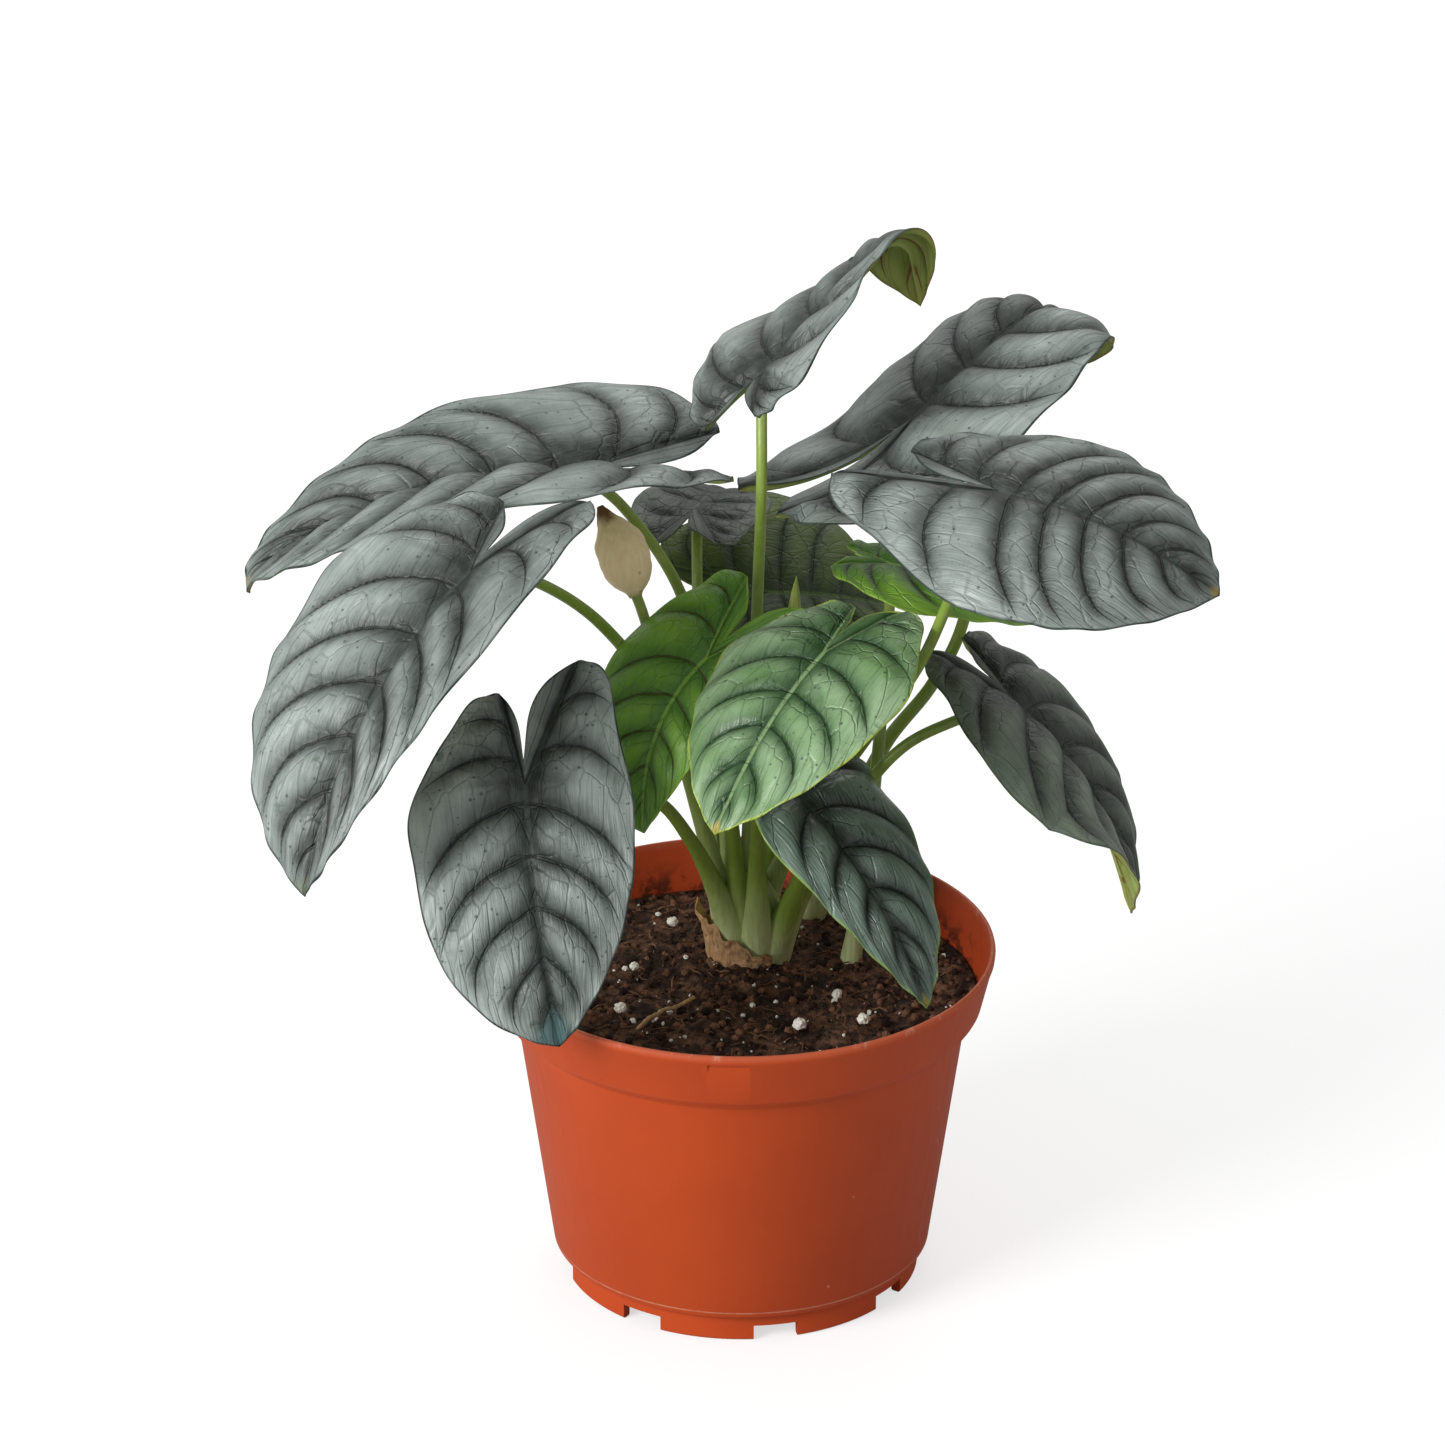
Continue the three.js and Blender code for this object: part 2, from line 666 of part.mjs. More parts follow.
const spatheFoot = raised([-33, 20, 126]);
const spatheTip = raised([-44, 26, 154]);
const flowerPoints = [[-6, 26, 17], [-15, 30, 55], [-25, 27, 95], [-31.5, 20.5, 122.5]];
addStalk("flower_stalk", flowerPoints.map(raised), flowerStalkRadius, "stalk", flowerStalkTipRadius);
const spatheProfile = [[0, 0.03], [0.31, 0.05], [0.78, 0.22], [1, 0.44], [0.75, 0.71], [0.38, 0.9], [0, 1]]
  .map(([width, share]) => [width * spatheRadius, share]);
addPiece("old_spathe", spindle(spatheFoot, spatheTip, spatheProfile, 12), finishes.cream);

const spikeFoot = raised([16, 22, 113]);
const spikeTip = raised([17, 20, 133]);
const newLeafPoints = [[8, 26, 21], [12, 26, 55], [15, 24, 90], [16, 22.1, 112]];
addStalk("stalk_new_leaf", newLeafPoints.map(raised), newLeafStalkRadius, "stalk");
const spikeProfile = [[0, 0.02], [1.8, 0.03], [2.2, 0.3], [1.4, 0.7], [0, 1]];
addPiece("new_leaf_spike", spindle(spikeFoot, spikeTip, spikeProfile, 8), finishes.pale);

// A papery piece of old leaf base that wraps part of the crown, clear of the crown and the soil.
function makeDrySheath() {
  const rows = [];
  for (let i = 0; i <= 6; i++) {
    const angle = radians(150 + 24 * i);
    const row = [];
    for (let j = 0; j <= 3; j++) {
      const rise = sheathRise * (0.6 + 0.4 * Math.sin(2.3 * i + 1)) * (j / 3);
      const height = soilLevel + 2 * soilBump + gap + bladeThickness + rise;
      const radius = crownSwell * crownRadius + bladeThickness + gap + 0.8 * j;
      row.push(vector(crownX + radius * Math.cos(angle), crownY + radius * Math.sin(angle), height));
    }
    rows.push(row);
  }
  return plateOf(sheetOf([{ grid: rows, flip: false }]), bladeThickness);
}
addPiece("dry_sheath", makeDrySheath(), finishes.dry);

// Grains of perlite, and a dry twig, lying on the soil.
const grains = [[-38, -22, 2.2], [18, -34, 2.6], [38, -30, 2.4], [-22, 40, 2.0], [-34, 8, 1.8], [30, -12, 2.0]];
grains.forEach(([x, y, radius], i) => {
  const grain = new THREE.IcosahedronGeometry(radius, 1).scale(1, 0.85, 0.75).rotateZ(i);
  const level = soilLevel + 1.5 * soilBump + gap;
  addPiece(`perlite_${i + 1}`, grain.translate(x, y, level + 0.75 * radius), finishes.perlite);
});
const twigHeight = soilLevel + 1.5 * soilBump + gap + 1.2 * twigRadius;
const twigPoints = [[-33, -35, twigHeight], [-25, -24, twigHeight + 0.6], [-15, -14, twigHeight]];
addPiece("twig", makeStalk(twigPoints, twigRadius, 0.7 * twigRadius, 6), finishes.dry);

addPiece("pot", makePot(), finishes.terracotta);
addPiece("potting_soil", geometryOf(soil), finishes.soil);
addPiece("crown", makeCrown(0), finishes.crown);

export default plant;
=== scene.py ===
"""Potted alocasia: silver-leaved plant in a plastic azalea pot, built round the packed frame."""

import json
import math
import random

import bmesh
import bpy
import numpy as np
from mathutils import Matrix, Vector, noise

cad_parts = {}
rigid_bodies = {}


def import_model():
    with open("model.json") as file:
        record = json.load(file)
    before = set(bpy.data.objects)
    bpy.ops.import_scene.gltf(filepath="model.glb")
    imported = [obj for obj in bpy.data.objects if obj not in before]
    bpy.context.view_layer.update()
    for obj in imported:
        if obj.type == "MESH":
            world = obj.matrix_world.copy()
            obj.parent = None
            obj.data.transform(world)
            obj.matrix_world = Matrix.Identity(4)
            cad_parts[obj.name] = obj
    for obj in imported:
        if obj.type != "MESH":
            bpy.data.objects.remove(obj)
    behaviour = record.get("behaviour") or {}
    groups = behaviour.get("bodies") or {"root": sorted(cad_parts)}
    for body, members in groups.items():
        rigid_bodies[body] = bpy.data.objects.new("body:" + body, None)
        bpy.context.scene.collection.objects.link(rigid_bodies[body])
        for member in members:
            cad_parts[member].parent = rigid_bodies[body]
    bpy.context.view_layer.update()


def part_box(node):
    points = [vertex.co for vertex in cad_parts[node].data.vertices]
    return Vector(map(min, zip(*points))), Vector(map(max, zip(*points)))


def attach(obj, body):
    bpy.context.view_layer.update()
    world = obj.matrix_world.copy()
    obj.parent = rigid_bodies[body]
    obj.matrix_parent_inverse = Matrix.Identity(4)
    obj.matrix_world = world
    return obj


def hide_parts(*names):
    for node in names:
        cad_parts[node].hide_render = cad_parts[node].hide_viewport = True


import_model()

bl_info = {
    "name": "Potted Alocasia",
    "version": (1, 0, 0),
    "blender": (4, 5, 0),
    "location": "3D View > Sidebar > Alocasia",
    "description": "Builds a potted alocasia: leaves, stalks, soil, pot and a small studio",
    "category": "Add Mesh",
}

POT_LOW, POT_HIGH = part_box("pot")
MM = 0.001

# ---- Sizes shared with the frame, in millimetres -------------------------------------------------

POT_HEIGHT = (POT_HIGH[2] - POT_LOW[2]) / MM
RIM_RADIUS = (POT_HIGH[0] - POT_LOW[0]) / 2 / MM
SOIL_LEVEL = POT_HEIGHT - 16
CROWN = (3, 23)
COLLAR, SHOULDER = POT_HEIGHT - 18, POT_HEIGHT - 22
BODY_RADIUS = RIM_RADIUS - 9
FOOT_RADIUS = 60
GAP = 0.3
BLADE_THICKNESS = 1
STALK_RADIUS = 4
STALK_TIP_RADIUS = 1.7
SHOOT_RADIUS = 4.5
WIDEST_SHARE = 0.08
LOBE_TIP_WIDTH = 0.24
OUTLINE_SHARES = (0, 0.2, 0.4, 0.6, 0.8, 0.93, 1)
UV_SCALE = 0.01


def srgb(code):
    """A #rrggbb colour as linear red, green, blue, alpha."""
    parts = [int(code[i : i + 2], 16) / 255 for i in (1, 3, 5)]
    linear = [c / 12.92 if c <= 0.04045 else ((c + 0.055) / 1.055) ** 2.4 for c in parts]
    return (*linear, 1.0)


# ---- Leaves: heights are above the soil, angles in degrees --------------------------------------

GREY = ("silver", "silver_painted_light", "dusky")


def leaf_of(name, at, left, right, **own):
    """A leaf's numbers, with the shared values filled in."""
    leaf = dict(
        roll=0, sway=0, twist=0, hook=0, hook_start=0.75, hook_end=1, lobe_bend=15, sinus=8,
        fullness=2, finish="silver", tip="plain", veins=5,
    )
    leaf.update(own, name=name, at=(at[0], at[1], SOIL_LEVEL + at[2]))
    leaf["smoke"] = 1.0 if leaf["finish"] in GREY else 0.62
    side = dict(fold=6, curl=-20, tip_curl=0, roll_start=0.5, shoulder=0.12)
    side["fullness"] = leaf["fullness"]
    for key, lobe in (("left", left), ("right", right)):
        full = {**side, **lobe}
        full.setdefault("tip_fold", full["fold"])
        leaf[key] = full
    return leaf


LEAVES = [
    leaf_of(
        "top", (5, 20, 201), heading=28, pitch=40, twist=-30, bend=0, hook=120, hook_start=0.6,
        hook_end=0.8, length=88, lobe_bend=60, sinus=3, tip="yellow",
        left=dict(half=46, reach=25, spread=8, fold=0, tip_fold=-20, curl=-26, fullness=2),
        right=dict(half=24, reach=12, spread=14, fold=10, curl=-10, fullness=1.5),
    ),
    leaf_of(
        "upper_right", (53, 40, 179), heading=34, pitch=35, bend=20, hook=100, hook_start=0.55,
        hook_end=0.9, length=86, lobe_bend=-64, fullness=3,
        left=dict(half=36, reach=60, spread=12, fold=-4, shoulder=0.45),
        right=dict(half=42, reach=68, spread=20),
    ),
    leaf_of(
        "right", (78, -28, 182), heading=-30, pitch=2, roll=22, bend=45, length=76, lobe_bend=0,
        fullness=3, tip="yellow", veins=6,
        left=dict(half=42, reach=38, spread=13, fold=-6, curl=-26, fullness=2.3),
        right=dict(half=48, reach=56, spread=5, fold=4, curl=-16),
    ),
    leaf_of(
        "upper_left", (-50, 21, 169), heading=188, pitch=5, roll=-12, bend=50, hook=50,
        hook_start=0.9, length=118, lobe_bend=0, tip="yellow", veins=6,
        left=dict(half=42, reach=46, spread=14, fold=32, tip_fold=10),
        right=dict(half=40, reach=46, spread=20, fold=14, shoulder=0.4, fullness=1.6),
    ),
    leaf_of(
        "lower_left", (-82, -57, 168), heading=222, pitch=-28, bend=50, length=113, veins=6,
        left=dict(half=27, reach=40, spread=14, fullness=2.2),
        right=dict(half=50, reach=27, spread=12, fullness=3.6),
    ),
    leaf_of(
        "front_left", (-66, -50, 94), heading=-84, sway=12, pitch=-50, bend=40, length=83,
        # Painted light: this leaf takes the silver colours painted lighter, as it lies in the lower
        # left leaf's shadow.
        finish="silver_painted_light", tip="teal",
        left=dict(half=33, reach=40, spread=19, fullness=2.3),
        right=dict(half=36, reach=30, spread=6, fullness=3.6),
    ),
    leaf_of(
        "front_centre", (25, -30, 130), heading=232, pitch=-20, bend=35, length=70, finish="pale",
        fullness=2.5, tip="yellow",
        left=dict(half=36, reach=26, spread=12),
        right=dict(half=31, reach=22, spread=4),
    ),
    leaf_of(
        "bright", (-11, -8, 118), heading=208, sway=40, pitch=-35, roll=-15, bend=40, length=60,
        finish="bright",
        left=dict(half=24, reach=34, spread=14, fullness=1.8),
        right=dict(half=30, reach=28, spread=14, fullness=2.7),
    ),
    leaf_of(
        "front_right", (19, -22, 77), heading=-42, pitch=-30, bend=35, length=77, finish="dark",
        tip="yellow",
        left=dict(half=31, reach=16, spread=10, shoulder=0.4),
        right=dict(half=24, reach=12, spread=8),
    ),
    leaf_of(
        "lower_right", (85, 10, 96), heading=-15, pitch=-38, bend=45, length=82, finish="dusky",
        fullness=2.4, under="#a7bf6f",
        left=dict(half=33, reach=24, spread=12),
        right=dict(half=44, reach=32, spread=12, tip_curl=150, roll_start=0.4),
    ),
    leaf_of(
        "back", (9, 68, 107), heading=14, pitch=-5, roll=35, bend=25, length=43, finish="dull",
        fullness=2.6, veins=4,
        left=dict(half=40, reach=34, spread=14),
        right=dict(half=36, reach=30, spread=14),
    ),
    leaf_of(
        "back_small", (-14, 60, 140), heading=70, pitch=5, bend=40, length=38, veins=4,
        finish="dusky",
        left=dict(half=22, reach=30, spread=9),
        right=dict(half=22, reach=20, spread=14),
    ),
    leaf_of(
        "young", (46, 22, 137), heading=-5, pitch=-10, bend=20, length=60, finish="bright",
        left=dict(half=16, reach=14, spread=8),
        right=dict(half=30, reach=18, spread=10),
    ),
]

# Stalk courses; heights are above the soil. Each ends under the blade of the same name.
CROWN_COURSES = {
    "front_left": [
        (-3, 16, 13), (-9, 11, 32), (-16, 4, 50), (-26, -2, 66), (-40, -7, 73), (-53, -20, 76),
        (-61, -38, 85),
    ],
    "lower_left": [(-5, 20, 17), (-13, 18, 51), (-25, 17, 91), (-43, 11, 120), (-64, -16, 147)],
    "upper_left": [(-2, 26, 21), (-6, 30, 55), (-12, 32, 91), (-20, 33, 124), (-37, 33, 151)],
    "top": [(3, 27, 25), (3, 27, 55), (5, 22, 127), (6, 10, 167), (6, 15, 189)],
    "front_centre": [(5, 13, 13), (5, 3, 53), (8, -15, 85), (18, -27, 113)],
    "bright": [(-1, 16, 21), (-3, 9, 53), (-6, 2, 85), (-9, -3, 108)],
    "front_right": [(11, 15, 11), (19, 6, 37), (22, -8, 60)],
    "lower_right": [(14, 18, 15), (28, 12, 46), (42, 10, 70), (52, 9, 81), (65, 7, 89)],
    "right": [(8, 26, 21), (22, 22, 51), (39, 9, 83), (55, -16, 120), (67, -34, 159)],
    "back": [(6, 32, 17), (6, 46, 55), (8, 60, 89)],
    "back_small": [(-4, 32, 17), (-8, 38, 55), (-13, 40, 100), (-14, 48, 125)],
}
SOIL_COURSES = {
    "upper_right": [
        (22, 54, -7), (32, 50, 30), (46, 45, 65), (60, 42, 86), (69, 46, 103), (73, 50, 127),
        (65, 48, 157),
    ],
    "young": [(34, 22, -7), (38, 19, 25), (43, 20, 75), (46, 23, 120)],
}
FLOWER_COURSE = [
    (-6, 26, 17), (-15, 30, 55), (-25, 27, 95), (-31.5, 20.5, 122.5), (-33.5, 20.3, 128),
]
SPATHE_ENDS = ((-33, 20, 126), (-44, 26, 154))
NEW_LEAF_COURSE = [(8, 26, 21), (12, 26, 55), (15, 24, 90), (16, 22.1, 113.5)]
SPIKE_ENDS = ((16, 22, 113), (17, 20, 133))

# Colours of a leaf's upper face by finish: panel, panel shade, halo, vein, rib, margin.
LEAF_COLOURS = {
    "silver": ("#adb7b2", "#838e87", "#272d28", "#191f1b", "#46524a", "#2f3d36"),
    # The silver colours painted lighter: painted light for a leaf that lies in another leaf's
    # shadow.
    "silver_painted_light": ("#c2ccc7", "#96a19a", "#2a302b", "#191f1b", "#46524a", "#2f3d36"),
    "pale": ("#a2bf96", "#71985f", "#264a22", "#1a3a1a", "#9dba82", "#a9bd4a"),
    "bright": ("#8fbf43", "#669f28", "#3f6f1a", "#46411a", "#8fb94c", "#8db43c"),
    "dark": ("#899e90", "#5a6f61", "#17231b", "#0f1913", "#3c5445", "#7c9c46"),
    "dusky": ("#84927f", "#5a6856", "#1e2520", "#131915", "#3d4b41", "#46553a"),
    "dull": ("#6b8035", "#4d6228", "#2c401f", "#22331a", "#5f7a3a", "#4f6a2e"),
}
# Roughness of a leaf's upper face and depth of its creases, by finish.
LEAF_GLOSS = {
    "silver": (0.4, 0.55),
    "silver_painted_light": (0.4, 0.55),
    "pale": (0.32, 0.3),
    "bright": (0.36, 0.25),
    "dark": (0.3, 0.35),
    "dusky": (0.4, 0.5),
    "dull": (0.48, 0.25),
}
# Colour of a leaf's tip and how much of it shows.
TIPS = {"plain": ("#7d8a55", 0.25), "yellow": ("#b9a03c", 0.8), "teal": ("#47696a", 0.85)}


# ---- Settings ------------------------------------------------------------------------------------


def size(name, text, default):
    return bpy.props.FloatProperty(
        name=name, description=text, default=default, unit="LENGTH", precision=4
    )


def share(name, text, default):
    return bpy.props.FloatProperty(name=name, description=text, default=default, subtype="FACTOR")


def power(name, text, default):
    return bpy.props.FloatProperty(name=name, description=text, default=default)


def number(name, text, default):
    return bpy.props.IntProperty(name=name, description=text, default=default, min=0)


def colour(name, text, code):
    return bpy.props.FloatVectorProperty(
        name=name, description=text, default=srgb(code), size=4, subtype="COLOR", min=0, max=1
    )


class AlocasiaPotSettings(bpy.types.PropertyGroup):
    """Sizes and colours of the pot."""

    wall: size("Wall", "Thickness of the pot's wall", 0.0016)
    mark_width: size("Mark width", "Width of the shallow mould mark under the lip", 0.013)
    notch_width: size("Notch width", "Width of each drain notch in the foot", 0.014)
    notch_height: size("Notch height", "Height of each drain notch in the foot", 0.005)
    shell: colour("Plastic", "Colour of the plastic", "#c04a1c")
    shade: colour("Plastic shade", "Colour of the duller patches in the plastic", "#ae3f19")
    dust: colour("Dust", "Colour of the dust and scuffs", "#d9a58c")


class AlocasiaSoilSettings(bpy.types.PropertyGroup):
    """Sizes, numbers and colours of the soil."""

    crumbs: number("Crumbs", "Number of loose crumbs on the soil", 1500)
    fibres: number("Fibres", "Number of thin fibres on the soil", 260)
    grains: number("Grains", "Number of small white grains on the soil", 150)
    dark: colour("Soil dark", "Colour of the moist soil", "#20120c")
    light: colour("Soil light", "Colour of the drier crumbs", "#7a5540")
    fibre: colour("Fibre", "Colour of the fibres", "#8a6244")
    grain: colour("Grain", "Colour of the white grains", "#e9e4da")


class AlocasiaLeafSettings(bpy.types.PropertyGroup):
    """Sizes and colours shared by the leaves."""

    thickness: size("Thickness", "Thickness of a blade", 0.0008)
    relief: share("Relief", "Height of the panels, as a share of half their width", 0.3)
    groove: size("Groove", "Depth of the groove that each side vein lies in", 0.0006)
    rib_groove: size("Rib groove", "Depth of the channel along the middle rib", 0.0016)
    wave: size("Wave", "Height of the waves in the margin", 0.0007)
    under: colour("Underside", "Colour of the undersides", "#aab65e")
    under_shade: colour("Underside shade", "Colour of the undersides' shaded patches", "#8a9a48")
    under_vein: colour("Underside vein", "Colour of the veins seen from below", "#6b3326")


class AlocasiaStalkSettings(bpy.types.PropertyGroup):
    """Sizes and colours of the stalks and the crown."""

    sheath: size("Sheath", "Half width of a stalk's clasping base", 0.0066)
    foot: colour("Stalk foot", "Colour at the foot of a stalk", "#c6cf9c")
    middle: colour("Stalk middle", "Colour along the middle of a stalk", "#86a03e")
    head: colour("Stalk head", "Colour just under the blade", "#97ad55")
    scar: colour("Scar", "Colour of the dry edges on the crown", "#8b6a45")


class AlocasiaFlowerSettings(bpy.types.PropertyGroup):
    """Colours of the old flower sheath and the dry litter."""

    cream: colour("Cream", "Colour of the flower sheath", "#ffe8bd")
    withered: colour("Withered", "Colour of its withered tip", "#7d5a3c")
    straw: colour("Straw", "Colour of dry plant matter", "#b48d62")


class AlocasiaStageSettings(bpy.types.PropertyGroup):
    """The studio's floor, lights and camera."""

    floor: colour("Floor", "Colour of the floor", "#b8b8b8")
    key: power("Key light", "Power of the key light", 36)
    fill: power("Fill light", "Power of the fill light", 1.2)
    sky: power("Sky", "Strength of the even light", 0.5)


SETTINGS = {
    "alocasia_pot": AlocasiaPotSettings,
    "alocasia_soil": AlocasiaSoilSettings,
    "alocasia_leaf": AlocasiaLeafSettings,
    "alocasia_stalk": AlocasiaStalkSettings,
    "alocasia_flower": AlocasiaFlowerSettings,
    "alocasia_stage": AlocasiaStageSettings,
}


# ---- Curves and turns ----------------------------------------------------------------------------


def catmull(points, shares):
    """Points of a centripetal Catmull-Rom curve through points, at shares of its segments."""
    knots = np.array(points, float)
    count = len(knots)
    first = 2 * knots[0] - knots[1]
    last = 2 * knots[-1] - knots[-2]
    padded = np.vstack([first, knots, last])
    place = np.clip(np.asarray(shares, float), 0, 1) * (count - 1)
    seg = np.minimum(place.astype(int), count - 2)
    weight = (place - seg)[:, None]
    p0, p1, p2, p3 = (padded[seg + k] for k in range(4))

    def spread(a, b):
        return np.maximum(np.sum((a - b) ** 2, axis=1) ** 0.25, 1e-4)[:, None]

    d0, d1, d2 = spread(p0, p1), spread(p1, p2), spread(p2, p3)
    t1 = ((p1 - p0) / d0 - (p2 - p0) / (d0 + d1) + (p2 - p1) / d1) * d1
    t2 = ((p2 - p1) / d1 - (p3 - p1) / (d1 + d2) + (p3 - p2) / d2) * d1
    c2 = -3 * p1 + 3 * p2 - 2 * t1 - t2
    c3 = 2 * p1 - 2 * p2 + t1 + t2
    return p1 + t1 * weight + c2 * weight**2 + c3 * weight**3


def even_curve(points, steps):
    """Points evenly spaced by length along the curve through points."""
    fine = catmull(points, np.linspace(0, 1, 400))
    lengths = np.concatenate([[0], np.cumsum(np.linalg.norm(np.diff(fine, axis=0), axis=1))])
    wanted = np.linspace(0, lengths[-1], steps + 1)
    return np.stack([np.interp(wanted, lengths, fine[:, k]) for k in range(3)], axis=1)


def turn(axis, degrees):
    """Turn matrices about a frame axis, one for each angle."""
    angle = np.radians(np.atleast_1d(np.asarray(degrees, float)))
    c, s = np.cos(angle), np.sin(angle)
    out = np.zeros((len(angle), 3, 3))
    i, j = {"x": (1, 2), "y": (2, 0), "z": (0, 1)}[axis]
    k = 3 - i - j
    out[:, k, k] = 1
    out[:, i, i] = c
    out[:, j, j] = c
    out[:, i, j] = -s
    out[:, j, i] = s
    return out


def smooth(low, high, value):
    """A soft step from 0 at low to 1 at high."""
    t = np.clip((value - low) / (high - low), 0, 1)
    return t * t * (3 - 2 * t)


# ---- Blade geometry ------------------------------------------------------------------------------


class Blade:
    """The flat outline of a leaf and how it is bent into space."""

    def __init__(self, leaf):
        self.leaf = leaf
        reach = max(leaf["left"]["reach"], leaf["right"]["reach"])
        self.out = self.walk(1, leaf["length"])
        self.back = self.walk(-1, reach)

    def lobe(self, side):
        """The numbers of one half: side 1 is left, -1 is right."""
        return self.leaf["left" if side > 0 else "right"]

    def frames(self, along):
        """The blade's turned axes at distances along its rib."""
        leaf = self.leaf
        along = np.atleast_1d(along)
        base = turn("z", leaf["heading"]) @ turn("y", -leaf["pitch"]) @ turn("x", leaf["roll"])
        share_out = np.maximum(along / leaf["length"], 0)
        share_back = np.minimum(along / leaf["length"], 0)
        hook_length = leaf["hook_end"] - leaf["hook_start"]
        hook = np.clip((share_out - leaf["hook_start"]) / hook_length, 0, 1)
        swing = turn("z", leaf["sway"] * share_out)
        droop = turn(
            "y", leaf["bend"] * share_out + leaf["hook"] * hook + leaf["lobe_bend"] * share_back
        )
        return base @ swing @ droop @ turn("x", leaf["twist"] * share_out)

    def walk(self, direction, distance):
        """Rib points one millimetre apart, out from the stalk."""
        steps = math.ceil(distance) + 1
        along = direction * (np.arange(steps) + 0.5)
        ahead = self.frames(along) @ np.array([direction, 0, 0.0])
        at = np.array(self.leaf["at"], float)
        return np.vstack([at, at + np.cumsum(ahead, axis=0)])

    def rib(self, along):
        """Points on the rib at distances along it."""
        place = np.abs(along)
        out = np.empty((len(along), 3))
        for stations, mask in ((self.out, along >= 0), (self.back, along < 0)):
            row = np.arange(len(stations))
            for k in range(3):
                out[mask, k] = np.interp(place[mask], row, stations[:, k])
        return out

    def put(self, along, across, side):
        """Flat points (arrays) put in space."""
        leaf = self.leaf
        lobe = self.lobe(side)
        share_out = np.maximum(0, along / leaf["length"])
        rolled = np.maximum(0, (share_out - lobe["roll_start"]) / (1 - lobe["roll_start"]))
        fold = np.radians(lobe["fold"] + (lobe["tip_fold"] - lobe["fold"]) * share_out)
        rate = np.radians(lobe["curl"] + lobe["tip_curl"] * rolled) / lobe["half"]
        rate = np.where(np.abs(rate) < 1e-6, 1e-6, rate)
        out = (np.sin(fold + rate * across) - np.sin(fold)) / rate
        up = (np.cos(fold) - np.cos(fold + rate * across)) / rate
        local = np.stack([np.zeros_like(out), side * out, up], axis=1)
        turned = np.einsum("nij,nj->ni", self.frames(along), local)
        return turned + self.rib(along)

    def normals(self, along, across, side):
        """Directions that stand on the blade's upper face."""
        step = 0.4
        a = self.put(along + step, across, side) - self.put(along - step, across, side)
        b = self.put(along, across + step, side) - self.put(along, across - step, side)
        n = np.cross(a, b) * side
        return n / np.maximum(np.linalg.norm(n, axis=1), 1e-9)[:, None]

    def margin(self, side, shares):
        """Flat points of the outer edge, from the lobe's tip to the leaf's."""
        leaf = self.leaf
        lobe = self.lobe(side)
        half, reach, spread = lobe["half"], lobe["reach"], lobe["spread"]
        points = [
            (-reach, spread),
            (-0.9 * reach, spread + LOBE_TIP_WIDTH * half),
            (-0.5 * reach, (0.45 + lobe["shoulder"]) * half + 0.55 * spread),
        ]
        for step in OUTLINE_SHARES:
            along = (WIDEST_SHARE + (1 - WIDEST_SHARE) * step) * leaf["length"]
            points.append((along, (1 - step ** lobe["fullness"]) ** 0.9 * half))
        return catmull(points, shares)

    def sinus(self, side, shares):
        """Flat points of the notch's edge, from the lobe's tip to the stalk."""
        leaf = self.leaf
        lobe = self.lobe(side)
        reach, spread = lobe["reach"], lobe["spread"]
        points = [
            (-reach, spread),
            (-0.8 * reach, 0.42 * spread),
            (-0.5 * reach - 0.5 * leaf["sinus"], 0.16 * spread),
            (-leaf["sinus"], 0),
        ]
        return catmull(points, shares)


LOBE_ROWS, BLADE_ROWS, COLUMNS, INNER_COLUMNS = 34, 84, 30, 8
CAD_LOBE_ROWS, CAD_BLADE_ROWS = 4, 9


def patch_grid(blade, side, inner):
    """A half blade's grid of flat points: rows along the rib, columns out to the edge."""
    leaf = blade.leaf
    lobe = blade.lobe(side)
    s = np.concatenate([np.linspace(-1, 0, LOBE_ROWS + 1), np.linspace(0, 1, BLADE_ROWS + 1)[1:]])
    if inner:
        s = s[: LOBE_ROWS + 1]
        edge = blade.sinus(side, s + 1)
        v = np.linspace(0, 1, INNER_COLUMNS + 1)
    else:
        rows = CAD_LOBE_ROWS + CAD_BLADE_ROWS
        t = np.where(s < 0, CAD_LOBE_ROWS * (s + 1), CAD_LOBE_ROWS + CAD_BLADE_ROWS * s) / rows
        edge = blade.margin(side, t)
        v = np.linspace(0, 1, COLUMNS + 1)
    rib = np.where(
        (s >= 0)[:, None],
        np.stack([s * leaf["length"], np.zeros_like(s)], axis=1),
        np.stack([s * lobe["reach"], -s * lobe["spread"]], axis=1),
    )
    flat = rib[:, None, :] + (edge - rib)[:, None, :] * v[None, :, None]
    return s, v, flat


def vein_places(leaf):
    """Where side veins leave the rib: shares from the lobe tips (-1) to the leaf tip (1)."""
    count = leaf["veins"]
    ahead = [((k + 0.3) / (count + 0.25)) ** 0.95 for k in range(count)]
    return np.array([-1.4, -1.06, -0.62, -0.26] + ahead + [1.08, 1.4])


def vein_field(leaf, s, v, flat, inner):
    """For each grid point: vein phase (whole numbers lie on veins) and millimetres per phase."""
    places = vein_places(leaf)
    lean = np.zeros_like(v) if inner else 0.06 * v + 0.2 * v**3
    q = s[:, None] - lean[None, :] * (1.05 - 0.35 * np.clip(s, 0, 1)[:, None])
    phase = np.interp(q, places, np.arange(len(places)))
    ds = np.gradient(flat, axis=0)
    dv = np.gradient(flat, axis=1)
    qs, qv = np.gradient(phase)
    det = ds[..., 0] * dv[..., 1] - ds[..., 1] * dv[..., 0]
    det = np.where(np.abs(det) < 1e-3, 1e-3, det)
    gx = (qs * dv[..., 1] - qv * ds[..., 1]) / det
    gy = (-qs * dv[..., 0] + qv * ds[..., 0]) / det
    span = 1 / np.clip(np.hypot(gx, gy), 1 / 30, 2)
    return phase, span


